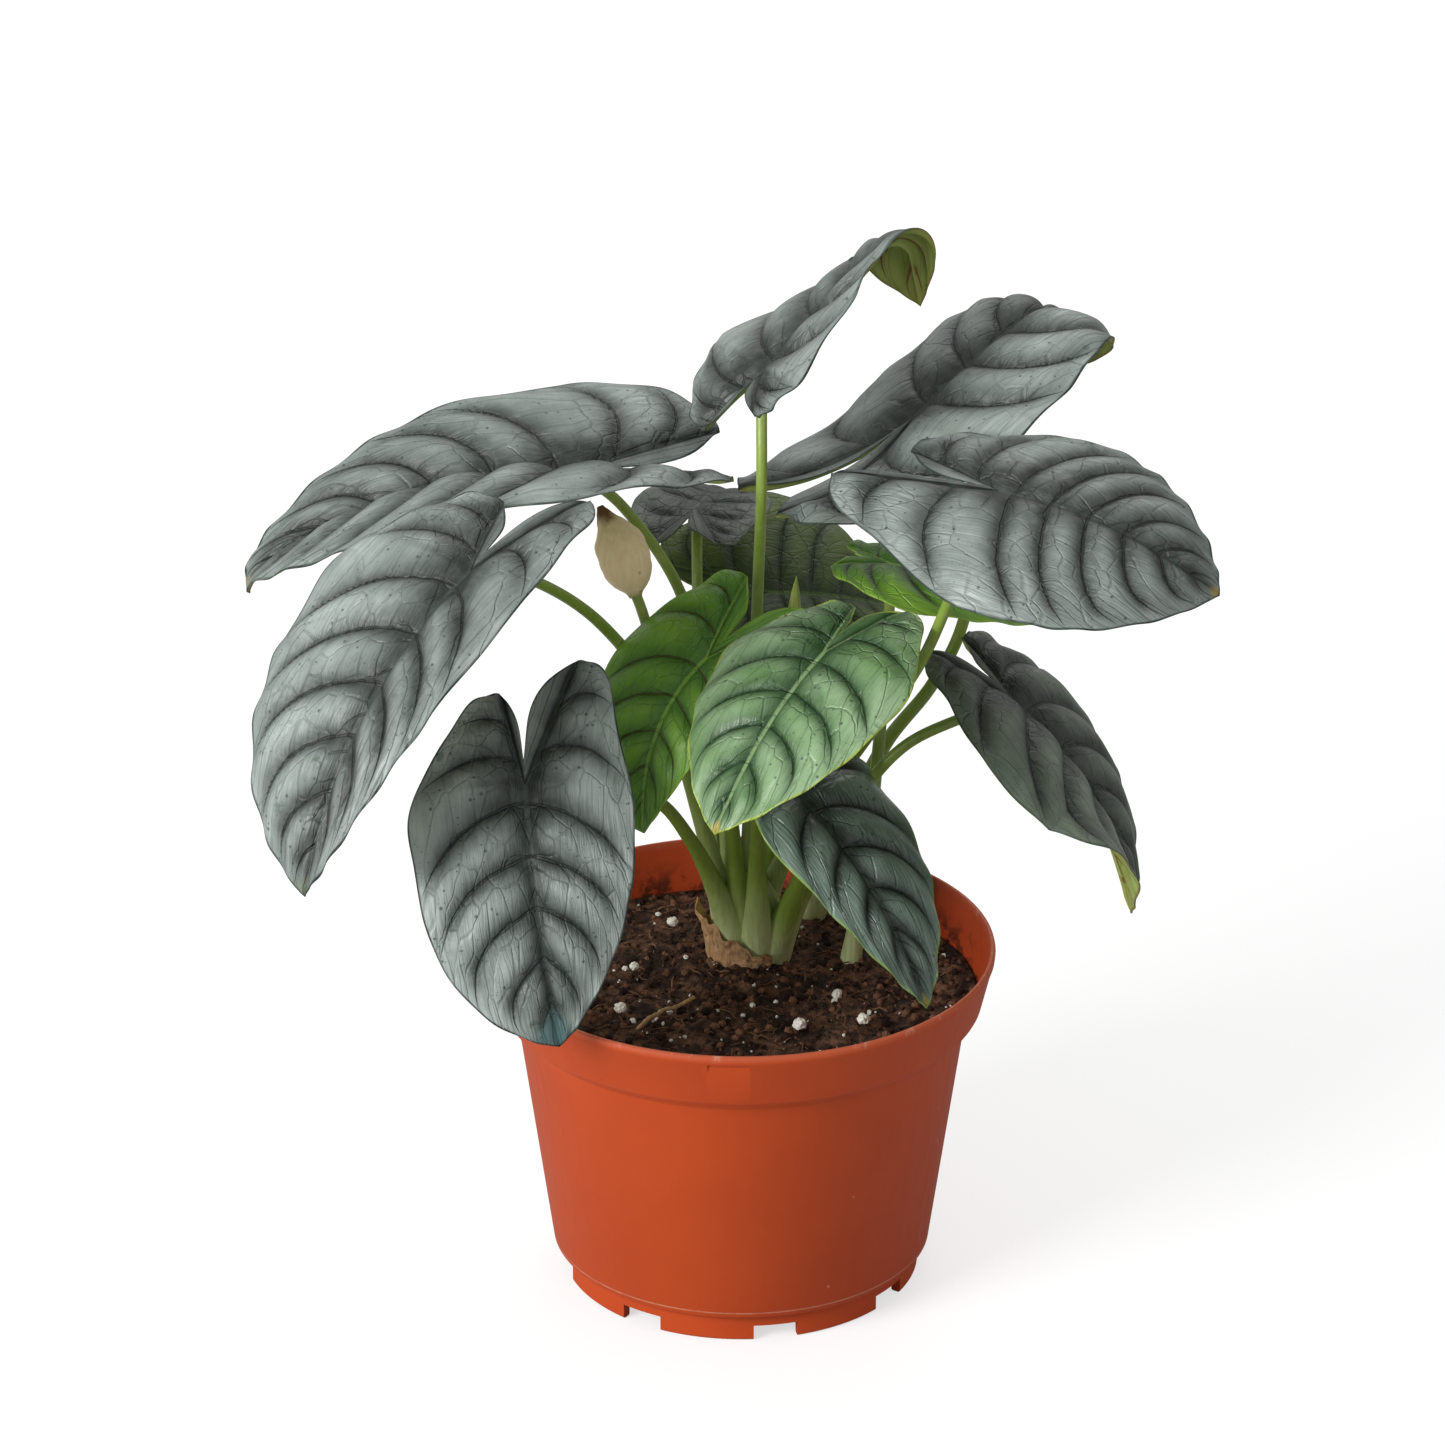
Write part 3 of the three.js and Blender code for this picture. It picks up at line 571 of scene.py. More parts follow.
def relief(leaf, settings, s, v, flat, phase, span, inner, seed):
    """Height of the upper face over the smooth blade, and the soft dark halo round the veins."""
    run = np.linalg.norm(flat - flat[:, :1, :], axis=2)
    edge = np.linalg.norm(flat - flat[:, -1:, :], axis=2)
    to_root = np.hypot(flat[..., 0], flat[..., 1])
    near = np.abs(phase - np.round(phase))
    side_vein = near * span
    tip_fade = 1 - smooth(0.75, 1.0, s)[:, None] * 0.6
    rib_width = (1.7 + 2.6 * np.exp(-to_root / 14)) * np.where(s < 0, 0.75, 1)[:, None]
    rib_dip = np.exp(-((run / rib_width) ** 1.6))
    calm = min(1.0, leaf["length"] / 80) ** 1.6
    if inner:
        height = -settings.rib_groove / MM * rib_dip * tip_fade * calm
        halo = 0.95 * np.exp(-run / 4.5) + 0.25
    else:
        pillow = 1 - (1 - np.clip(2 * near, 0, 1)) ** 2.2
        lift = settings.relief * np.clip(span / 2, 0, 9) * pillow * calm
        lift = lift * smooth(-1.0, 8.0, run) * (0.12 + 0.88 * smooth(0.0, 9.0, edge)) * tip_fade
        dip = settings.groove / MM * np.exp(-((side_vein / 1.3) ** 2)) * smooth(1, 5, run)
        dip = dip * smooth(1.0, 9.0, edge)
        height = lift - dip - settings.rib_groove / MM * rib_dip * tip_fade * calm
        ripple = np.sin(phase * 2 * np.pi + seed) * settings.wave / MM * calm
        height += ripple * (v[None, :] ** 4) * smooth(0, 0.2, 1 - np.abs(s))[:, None]
        halo_width = (1.8 + 5.4 * np.exp(-run / 20) + 3.2 * np.exp(-to_root / 24)) * leaf["smoke"]
        halo = 0.95 * np.exp(-((side_vein / halo_width) ** 1.5))
        halo = halo * (0.3 + 0.7 * smooth(0, 9, edge))
        rib_smoke = (3.6 + 5.8 * np.exp(-to_root / 30)) * leaf["smoke"] * tip_fade
        halo = 1 - (1 - halo) * (1 - 0.95 * np.exp(-((run / rib_smoke) ** 1.3)))
        root_smoke = 0.9 * np.exp(-((to_root / 11) ** 2)) * min(1, leaf["smoke"] * 1.2)
        halo = 1 - (1 - halo) * (1 - root_smoke)
    return height, halo, run, edge


def blade_sheet(leaf, settings):
    """All of a blade's points with their faces and the fields that colour it."""
    blade = Blade(leaf)
    seed = sum(map(ord, leaf["name"]))
    points, normals, fields, flats, faces = [], [], [], [], []
    start = 0
    for side in (1, -1):
        for inner in (False, True):
            s, v, flat = patch_grid(blade, side, inner)
            phase, span = vein_field(leaf, s, v, flat, inner)
            height, halo, run, edge = relief(
                leaf, settings, s, v, flat, phase, span, inner, seed + side
            )
            along, across = flat[..., 0].ravel(), flat[..., 1].ravel()
            place = blade.put(along, across, side)
            normal = blade.normals(along, across, side)
            rows, columns = flat.shape[:2]
            tip = smooth(0.8, 1.0, np.repeat(s, columns))
            if inner:
                phase = np.full_like(phase, 0.5)
            field = np.stack(
                [phase.ravel(), span.ravel(), run.ravel(), edge.ravel(), halo.ravel(), tip], axis=1
            )
            points.append(place + normal * height.ravel()[:, None])
            normals.append(normal)
            fields.append(field)
            flats.append(np.stack([along, side * across], axis=1))
            flip = (side < 0) != inner
            for i in range(rows - 1):
                for j in range(columns - 1):
                    a = start + i * columns + j
                    quad = (a, a + columns, a + columns + 1, a + 1)
                    faces.append(quad[::-1] if flip else quad)
            start += rows * columns
    return merged(
        np.vstack(points), np.vstack(normals), np.vstack(fields), np.vstack(flats), faces
    )


def merged(points, normals, fields, flats, faces):
    """The sheet with points that share a flat place joined, and empty faces dropped."""
    keys = np.round(flats, 3)
    _, first, back = np.unique(keys, axis=0, return_index=True, return_inverse=True)
    back = back.ravel()
    total = np.zeros((len(first), 3))
    np.add.at(total, back, normals)
    total /= np.maximum(np.linalg.norm(total, axis=1), 1e-9)[:, None]
    kept = []
    for face in faces:
        ring = []
        for index in face:
            mapped = int(back[index])
            if mapped not in ring:
                ring.append(mapped)
        if len(ring) > 2:
            kept.append(tuple(ring))
    return points[first], total, fields[first], flats[first], kept


def plate_faces(faces, count):
    """A sheet's faces, the same turned over for its back, and the strip that closes its edge."""
    edges = {}
    for face in faces:
        for p, q in zip(face, face[1:] + face[:1]):
            if (q, p) in edges:
                del edges[(q, p)]
            else:
                edges[(p, q)] = True
    back = [tuple(count + p for p in reversed(face)) for face in faces]
    return faces, back, [(p, count + p, count + q, q) for p, q in edges]


def tube_faces(rings, sides, first=0, inward=False):
    """Four-sided faces between rings of points that follow one another."""
    faces = []
    for i in range(rings - 1):
        for j in range(sides):
            a, b = first + i * sides + j, first + i * sides + (j + 1) % sides
            over = (a + sides, b + sides)
            faces.append((a, *over, b) if inward else (a, b, *over[::-1]))
    return faces


def fan_faces(centre, first, sides, up=False):
    """Triangles from a centre point to a ring, looking down or up."""
    pairs = [(first + j, first + (j + 1) % sides) for j in range(sides)]
    return [(centre, p, q) if up else (centre, q, p) for p, q in pairs]


def mesh_of(name, points, faces, skins=None, flat_shaded=False):
    """A mesh from points in millimetres, shaded smooth."""
    mesh = bpy.data.meshes.new(name)
    mesh.from_pydata((np.asarray(points) * MM).tolist(), [], faces)
    if skins is not None:
        mesh.polygons.foreach_set("material_index", skins)
    mesh.polygons.foreach_set("use_smooth", [not flat_shaded] * len(mesh.polygons))
    mesh.validate()
    mesh.update()
    return mesh


def set_share(mesh, values):
    """Stores a number for each point, which materials read as share."""
    mesh.attributes.new("share", "FLOAT", "POINT").data.foreach_set("value", values)


def add_piece(piece, nodes=()):
    """Rides a finished piece on the plant's one body and hides the frame parts it stands for."""
    if not piece.users_collection:
        bpy.context.scene.collection.objects.link(piece)
    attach(piece, "root")
    if nodes:
        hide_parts(*nodes)


def add_mesh(mesh, materials, nodes=()):
    """Makes a piece of a mesh and its materials."""
    for material in materials:
        mesh.materials.append(material)
    add_piece(bpy.data.objects.new(mesh.name, mesh), nodes)


def make_leaf(leaf, settings):
    """One blade's mesh: a closed thin plate with its relief and its colour fields."""
    points, normals, fields, flats, faces = blade_sheet(leaf, settings)
    edge, run = fields[:, 3], fields[:, 2]
    thick = settings.thickness / MM * (0.4 + 0.6 * smooth(0, 2.5, edge))
    ridge = 0.9 * np.exp(-((run / 1.3) ** 2)) * smooth(0, 6, edge)
    top = points + normals * (thick / 2)[:, None]
    bottom = points - normals * (thick / 2 + ridge)[:, None]
    upper, under, wall = plate_faces(faces, len(points))
    skins = [0] * len(upper) + [1] * len(under) + [0] * len(wall)
    mesh = mesh_of(
        f"blade_{leaf['name']}", np.vstack([top, bottom]), upper + under + wall, skins
    )
    for name, first in (("vein", 0), ("tone", 3)):
        field = mesh.attributes.new(name, "FLOAT_VECTOR", "POINT")
        field.data.foreach_set("vector", np.tile(fields[:, first : first + 3], (2, 1)).ravel())
    layer = mesh.uv_layers.new(name="blade")
    loops = np.empty(len(mesh.loops), int)
    mesh.loops.foreach_get("vertex_index", loops)
    layer.data.foreach_set("uv", (np.tile(flats, (2, 1)) * UV_SCALE)[loops].ravel())
    return mesh


# ---- Rods, turned forms and scatter --------------------------------------------------------------


def rod_mesh(name, centres, radii, sides):
    """A closed round rod along centres, with a radius for each."""
    centres = np.asarray(centres, float)
    tangents = np.gradient(centres, axis=0)
    tangents /= np.linalg.norm(tangents, axis=1)[:, None]
    guide = np.array([1.0, 0, 0]) if abs(tangents[0][0]) < 0.8 else np.array([0, 1.0, 0])
    ring = np.linspace(0, 2 * math.pi, sides, endpoint=False)
    points, shares = [], []
    normal = np.cross(tangents[0], guide)
    for i, tangent in enumerate(tangents):
        normal = normal - tangent * normal.dot(tangent)
        normal /= np.linalg.norm(normal)
        loop = np.outer(np.cos(ring), normal) + np.outer(np.sin(ring), np.cross(tangent, normal))
        points.append(centres[i] + loop * radii[i])
        shares += [i / (len(centres) - 1)] * sides
    end = len(centres) * sides
    faces = fan_faces(end, 0, sides) + fan_faces(end + 1, end - sides, sides, up=True)
    faces += tube_faces(len(centres), sides)
    mesh = mesh_of(name, np.vstack(points + [centres[:1], centres[-1:]]), faces)
    set_share(mesh, shares + [0.0, 1.0])
    return mesh


def blade_end(leaf):
    """Where the stalk of a leaf ends, just under its blade."""
    up = Blade(leaf).frames(np.array([0.0]))[0] @ np.array([0, 0, 1.0])
    below = BLADE_THICKNESS / 2 + GAP + 0.8 * STALK_TIP_RADIUS
    return np.array(leaf["at"]) - up * (below - 0.2)


def raised(points):
    """Points whose heights were given above the soil."""
    return [(x, y, SOIL_LEVEL + height) for x, y, height in points]


def deselect():
    if bpy.context.mode != "OBJECT":
        bpy.ops.object.mode_set(mode="OBJECT")
    bpy.ops.object.select_all(action="DESELECT")


def turned(name, profile, steps):
    """A profile of (radius, height) spun round the pot's axis with an applied Screw modifier."""
    deselect()
    mesh = bpy.data.meshes.new(name)
    points = [(radius * MM, 0, height * MM) for radius, height in profile]
    mesh.from_pydata(points, [(i, i + 1) for i in range(len(points) - 1)], [])
    piece = bpy.data.objects.new(name, mesh)
    bpy.context.scene.collection.objects.link(piece)
    bpy.context.view_layer.objects.active = piece
    piece.select_set(True)
    spin = piece.modifiers.new("spin", "SCREW")
    spin.steps = spin.render_steps = steps
    spin.use_merge_vertices = spin.use_normal_calculate = True
    spin.merge_threshold = 1e-5
    bpy.ops.object.modifier_apply(modifier=spin.name)
    clean(piece.data)
    return piece


def clean(mesh):
    """Merges doubled points and turns every face outwards."""
    shape = bmesh.new()
    shape.from_mesh(mesh)
    bmesh.ops.remove_doubles(shape, verts=shape.verts, dist=1e-6)
    bmesh.ops.recalc_face_normals(shape, faces=shape.faces)
    shape.to_mesh(mesh)
    shape.free()


def cut(piece, cutters):
    """Cuts boxes (centre, size and turn about Z) out of a piece."""
    for centre, measure, degrees in cutters:
        deselect()
        bpy.ops.mesh.primitive_cube_add(size=1, location=(0, 0, 0))
        box = bpy.context.active_object
        spin = Matrix.Rotation(math.radians(degrees), 4, "Z")
        place = Matrix.Translation(Vector(centre) * MM)
        box.data.transform(spin @ place @ Matrix.Diagonal((*(Vector(measure) * MM), 1)))
        notch = piece.modifiers.new("notch", "BOOLEAN")
        notch.operation, notch.solver, notch.object = "DIFFERENCE", "EXACT", box
        bpy.context.view_layer.objects.active = piece
        bpy.ops.object.modifier_apply(modifier=notch.name)
        bpy.data.objects.remove(box)
    clean(piece.data)


def scatter(name, places, tones):
    """Copies of one small ball at places (matrices), joined in one mesh, each with its tone."""
    shape = bmesh.new()
    bmesh.ops.create_icosphere(shape, subdivisions=1, radius=1)
    base = np.array([vertex.co for vertex in shape.verts])
    template = [[vertex.index for vertex in face.verts] for face in shape.faces]
    shape.free()
    points, faces = [], []
    for n, place in enumerate(places):
        matrix = np.array(place)
        points.append(base @ matrix[:3, :3].T + matrix[:3, 3])
        faces += [tuple(n * len(base) + i for i in face) for face in template]
    mesh = mesh_of(name, np.vstack(points), faces, flat_shaded=True)
    set_share(mesh, np.repeat(tones, len(base)))
    return mesh


def pot_inner(height):
    """Inner radius of the pot at a height, as in the frame."""
    wall = 1.6
    if height >= COLLAR:
        return RIM_RADIUS - 4 + 4 * (height - COLLAR) / 18 - wall
    if height >= SHOULDER:
        return BODY_RADIUS + 5 * (height - SHOULDER) / 4 - wall
    up = max(0, height - 10) / (SHOULDER - 10)
    return FOOT_RADIUS + (BODY_RADIUS - FOOT_RADIUS) * up - wall


# ---- Material helpers ----------------------------------------------------------------------------


class Graph:
    """A small helper that adds and links shader nodes."""

    def __init__(self, tree):
        self.tree = tree

    def add(self, kind, inputs=None, **settings):
        node = self.tree.nodes.new(kind)
        for key, value in settings.items():
            setattr(node, key, value)
        for key, value in (inputs or {}).items():
            self.feed(value, node.inputs[key])
        return node

    def feed(self, value, socket):
        """Links a socket, or sets a number, a vector or a #rrggbb colour."""
        if isinstance(value, bpy.types.NodeSocket):
            self.tree.links.new(value, socket)
        elif isinstance(value, str):
            socket.default_value = srgb(value)
        else:
            socket.default_value = value if isinstance(value, (int, float)) else tuple(value)

    def math(self, operation, *values):
        return self.add("ShaderNodeMath", dict(enumerate(values)), operation=operation).outputs[0]

    def times(self, a, b, plus=None):
        """a * b, or a * b + plus."""
        if plus is None:
            return self.math("MULTIPLY", a, b)
        return self.math("MULTIPLY_ADD", a, b, plus)

    def ramp(self, value, low, high, out_low=0.0, out_high=1.0):
        inputs = {"Value": value, "From Min": low, "From Max": high, "To Min": out_low,
                  "To Max": out_high}
        return self.add("ShaderNodeMapRange", inputs, interpolation_type="SMOOTHSTEP").outputs[0]

    def mix(self, share_of, a, b):
        node = self.add("ShaderNodeMix", data_type="RGBA", blend_type="MIX")
        for key, value in (("Factor", share_of), ("A", a), ("B", b)):
            self.feed(value, node.inputs[key])
        return node.outputs["Result"]

    def noise(self, vector, scale, detail=3, rough=0.55, distortion=0.0):
        inputs = {"Vector": vector, "Scale": scale, "Detail": detail, "Roughness": rough,
                  "Distortion": distortion}
        return self.add("ShaderNodeTexNoise", inputs).outputs["Fac"]

    def patches(self, vector, scale, low, high, detail=3, rough=0.55, distortion=0.0, depth=1.0):
        """Noise cut to soft patches between two levels."""
        cloud = self.noise(vector, scale, detail, rough, distortion)
        return self.ramp(cloud, low, high, 0.0, depth)

    def stretch(self, vector, scale, place=(0, 0, 0)):
        inputs = {"Vector": vector, "Scale": scale, "Location": place}
        return self.add("ShaderNodeMapping", inputs).outputs[0]

    def split(self, vector):
        return self.add("ShaderNodeSeparateXYZ", {0: vector}).outputs

    def join(self, x, y):
        return self.add("ShaderNodeCombineXYZ", {0: x, 1: y}).outputs[0]

    def objects(self):
        return self.add("ShaderNodeTexCoord").outputs["Object"]

    def attribute(self, name, output="Fac"):
        node = self.add("ShaderNodeAttribute", attribute_name=name, attribute_type="GEOMETRY")
        return node.outputs[output]

    def use(self, tree, **inputs):
        """Places a node group; an underscore in a name stands for a space."""
        node = self.add("ShaderNodeGroup", node_tree=tree)
        for key, value in inputs.items():
            self.feed(value, node.inputs[key.replace("_", " ")])
        return node.outputs

    def spots(self, vector, seed, scale, spot_size, amount):
        return self.use(
            speckles(), Vector=vector, Seed=seed, Scale=scale, Size=spot_size, Amount=amount
        )["Mask"]


class Skin(Graph):
    """A material being painted: its shader, and the colour laid on so far."""

    def __init__(self, name, roughness=0.5, subsurface=0.0, specular=0.5, coat=0.0):
        self.material = bpy.data.materials.new(name)
        self.material.use_nodes = True
        super().__init__(self.material.node_tree)
        self.shader = self.tree.nodes["Principled BSDF"]
        self.set("Roughness", roughness)
        self.set("Specular IOR Level", specular)
        self.set("Coat Weight", coat)
        self.set("Coat Roughness", 0.3)
        if subsurface:
            self.set("Subsurface Weight", subsurface)
            self.set("Subsurface Scale", 0.004)

    def set(self, name, value):
        self.feed(value, self.shader.inputs[name])

    def start(self, mask, a, b):
        self.colour = self.mix(mask, a, b)

    def lay(self, mask, colour, depth=None):
        """Lays a colour over the last one where the mask says, as deep as depth."""
        mask = mask if depth is None else self.times(mask, depth)
        self.colour = self.mix(mask, self.colour, colour)

    def finish(self, height, distance, strength=1.0):
        """Feeds the colour and the bump to the shader."""
        self.set("Base Color", self.colour)
        inputs = {"Height": height, "Distance": distance, "Strength": strength}
        self.set("Normal", self.add("ShaderNodeBump", inputs).outputs[0])
        return self.material


def group_of(name, inputs, outputs, build):
    """A node group, built once; an input whose default is None takes a vector, others a number."""
    if name in bpy.data.node_groups:
        return bpy.data.node_groups[name]
    tree = bpy.data.node_groups.new(name, "ShaderNodeTree")
    for label, default in inputs.items():
        kind = "NodeSocketVector" if default is None else "NodeSocketFloat"
        socket = tree.interface.new_socket(label, in_out="INPUT", socket_type=kind)
        if default is not None:
            socket.default_value = default
    for label in outputs:
        tree.interface.new_socket(label, in_out="OUTPUT", socket_type="NodeSocketFloat")
    source, sink = tree.nodes.new("NodeGroupInput"), tree.nodes.new("NodeGroupOutput")
    g = Graph(tree)
    for label, value in zip(outputs, build(g, source.outputs)):
        g.feed(value, sink.inputs[label])
    return tree


def vein_lines():
    """Thin vein masks from the blade's own fields."""

    def build(g, given):
        phase, span, run = g.split(given["Vein"])[:3]
        edge, halo, tip = g.split(given["Tone"])[:3]
        waver = g.times(g.noise(given["Flat"], 9.0, 2), 0.10, -0.05)
        phase = g.math("ADD", phase, waver)
        near = g.math("ABSOLUTE", g.math("SUBTRACT", phase, g.math("ROUND", phase)))
        thin = g.times(g.ramp(edge, 0.0, 14.0), given["Width"], 0.10)
        side = g.ramp(g.times(near, span), g.times(thin, 0.35), g.times(thin, 1.5), 1.0, 0.0)
        side = g.times(side, g.ramp(edge, 0.3, 3.0))
        wide, rim_wide = given["Rib width"], given["Margin width"]
        rib = g.ramp(run, g.times(wide, 0.5), wide, 1.0, 0.0)
        rim = g.ramp(edge, g.times(rim_wide, 0.4), rim_wide, 1.0, 0.0)
        return side, rib, rim, halo, tip

    inputs = {"Vein": None, "Tone": None, "Flat": None, "Width": 0.35, "Rib width": 0.9,
              "Margin width": 0.7}
    return group_of("Vein lines", inputs, ("Side veins", "Rib", "Margin", "Halo", "Tip"), build)


def leaf_wrinkles():
    """Fine creases that run across the panels, and the small branching veins."""

    def build(g, given):
        phase, _, run = g.split(given["Vein"])[:3]
        flat = given["Flat"]
        bent = g.times(g.noise(flat, 5.0, 2), 3.0, g.times(run, given["Crease scale"]))
        creases = g.patches(g.join(bent, g.times(phase, 1.6)), 1.0, 0.38, 0.66, 3, 0.6, 0.3)
        bent = g.times(g.noise(flat, 12.0, 2), 0.5, g.times(phase, 2.0))
        inputs = {"Vector": g.join(bent, g.times(run, 0.16)), "Scale": 1.0}
        small = g.add("ShaderNodeTexVoronoi", inputs, feature="DISTANCE_TO_EDGE")
        branches = g.ramp(small.outputs["Distance"], 0.0, 0.07, 1.0, 0.0)
        return creases, branches, g.math("SUBTRACT", g.times(creases, 0.5), branches)

    inputs = {"Vein": None, "Flat": None, "Crease scale": 0.9}
    return group_of("Leaf wrinkles", inputs, ("Creases", "Branches", "Height"), build)


def speckles():
    """Small spots scattered over a surface, in a few sizes."""

    def build(g, given):
        inputs = {0: given["Vector"], 1: given["Seed"]}
        moved = g.add("ShaderNodeVectorMath", inputs, operation="ADD").outputs[0]
        cells = g.add("ShaderNodeTexVoronoi", {"Vector": moved, "Scale": given["Scale"]}).outputs
        pick = g.add("ShaderNodeSeparateColor", {0: cells["Color"]}).outputs
        radius = g.times(pick[1], given["Size"])
        spot = g.ramp(cells["Distance"], g.times(radius, 0.5), radius, 1.0, 0.0)
        return (g.times(spot, g.math("LESS_THAN", pick[0], given["Amount"])),)

    inputs = {"Vector": None, "Seed": None, "Scale": 40.0, "Size": 0.3, "Amount": 0.2}
    return group_of("Speckles", inputs, ("Mask",), build)


def leaf_fields(g, **sizes):
    """The blade's flat coordinates, its vein masks and its creases."""
    flat = g.add("ShaderNodeUVMap", uv_map="blade").outputs[0]
    fields = {"Vein": g.attribute("vein", "Vector"), "Flat": flat}
    lines = g.use(vein_lines(), Tone=g.attribute("tone", "Vector"), **fields, **sizes)
    return flat, lines, g.use(leaf_wrinkles(), **fields)


def leaf_upper(leaf):
    """The upper face: pale panels, dark soft halos round the veins, creases, specks and margin."""
    finish, tip = leaf["finish"], leaf["tip"]
    panel, shade, halo, vein, rib, margin = LEAF_COLOURS[finish]
    gloss, crease_depth = LEAF_GLOSS[finish]
    grey = finish in GREY
    seed = sum(map(ord, leaf["name"])) % 37
    coat = 0.05 if finish in ("silver", "silver_painted_light") else 0.12
    g = Skin(f"blade_{leaf['name']}_upper", gloss, 0.0, 0.5, coat)
    flat, lines, marks = leaf_fields(g, Margin_width=0.8, Width=0.34 if grey else 0.26)
    moved = g.stretch(flat, (1, 1, 1), (seed * 0.37, seed * 0.11, 0))
    cloud = g.patches(moved, 4.5, 0.3, 0.72, 4)
    g.start(cloud, panel, shade)
    g.lay(marks["Creases"], shade, crease_depth)
    g.lay(marks["Branches"], halo, 0.10)
    g.lay(lines["Halo"], halo, g.times(g.noise(moved, 18.0, 5), 0.5, 0.74))
    g.lay(lines["Side veins"], vein, 0.85)
    g.lay(lines["Rib"], rib, 0.35 if grey or finish == "dark" else 0.6)
    if grey or finish in ("pale", "dark"):
        small = g.spots(moved, (seed, 1.0, 0), 60.0, 0.46, 0.2)
        large = g.spots(moved, (1.0, seed, 0), 11.0, 0.42, 0.24)
        g.lay(small, "#2c3c35", 0.75)
        g.lay(g.times(large, g.patches(moved, 45.0, 0.42, 0.56)), "#43594a", 0.62)
        nicks = g.patches(g.stretch(moved, (150, 60, 1)), 1.0, 0.63, 0.69, 2)
        g.lay(g.times(nicks, g.patches(moved, 9.0, 0.48, 0.58, 2)), "#33423a", 0.75)
    tip_colour, tip_depth = TIPS[tip]
    tip_edge = g.times(g.noise(moved, 10.0, 3), 0.6, 0.45)
    if tip == "teal":
        tip_mask = g.ramp(g.math("ADD", lines["Tip"], g.times(tip_edge, 0.3)), 0.15, 0.75)
    else:
        tip_mask = g.ramp(lines["Tip"], g.times(tip_edge, 0.9), g.math("ADD", tip_edge, 0.25))
    g.lay(tip_mask, tip_colour, tip_depth)
    g.lay(lines["Margin"], margin, g.ramp(g.noise(moved, 6.0, 2), 0.25, 0.6, 0.45, 1.0))
    rough = g.times(cloud, 0.12, gloss - 0.06)
    g.set("Roughness", g.math("ADD", rough, g.times(lines["Halo"], 0.08)))
    fine = g.times(g.noise(flat, 160.0, 2), 0.15, marks["Height"])
    return g.finish(g.math("SUBTRACT", fine, g.times(lines["Side veins"], 1.2)), 0.0004, 0.8)


def leaf_under(leaf, settings):
    """The underside: green with red-brown raised veins."""
    g = Skin(f"blade_{leaf['name']}_under", 0.5, 0.0, 0.4)
    flat, lines, marks = leaf_fields(g, Width=0.6, Rib_width=1.6, Margin_width=0.9)
    light = leaf.get("under", settings.under)
    g.start(g.patches(flat, 5.0, 0.3, 0.7, 4), light, settings.under_shade)
    g.lay(marks["Branches"], settings.under_vein, 0.35)
    g.lay(lines["Halo"], "#5d6b2c", 0.25)
    g.lay(lines["Side veins"], settings.under_vein, 0.85 if leaf["finish"] in GREY else 0.45)
    g.lay(lines["Rib"], "#a5b566", 0.7)
    g.lay(lines["Tip"], "#a8a040", 0.5)
    g.lay(lines["Margin"], "#8d8440")
    return g.finish(lines["Side veins"], 0.0004, 0.6)


def dry_material(name, flower):
    """Dry fibrous plant matter."""
    g = Skin(name, 0.75, 0.0, 0.3)
    place = g.objects()
    fibres = g.noise(g.stretch(place, (900, 900, 120)), 1.0, 4, 0.65)
    g.start(g.ramp(fibres, 0.35, 0.7), flower.straw, "#7a5a3c")
    g.lay(g.patches(place, 130.0, 0.35, 0.7, 4), "#c9a67a", 0.6)
    g.lay(g.patches(place, 260.0, 0.6, 0.75, 2, depth=0.7), "#4a3022")
    return g.finish(fibres, 0.0005, 0.8)


def grain_material(settings):
    """White porous grains, a little soiled; small and large grains share it."""
    name = "grain_skin"
    if name in bpy.data.materials:
        return bpy.data.materials[name]
    g = Skin(name, 0.85, 0.1, 0.3)
    place = g.objects()
    g.start(g.patches(place, 500.0, 0.5, 0.72, depth=0.6), settings.grain, "#a38f78")
    pits = g.add("ShaderNodeTexVoronoi", {"Vector": place, "Scale": 1500.0}).outputs["Distance"]
    return g.finish(pits, 0.0004, 0.9)


# ---- Operators -----------------------------------------------------------------------------------


class ALOCASIA_OT_leaves(bpy.types.Operator):
    """Builds every leaf blade with its veins, panels and margin"""

    bl_idname = "alocasia.leaves"
    bl_label = "Leaves"

    def execute(self, context):
        settings = context.scene.alocasia_leaf
        for leaf in LEAVES:
            materials = [leaf_upper(leaf), leaf_under(leaf, settings)]
            mesh = make_leaf(leaf, settings)
            add_mesh(mesh, materials, [f"leaf_{leaf['name']}"])
        return {"FINISHED"}


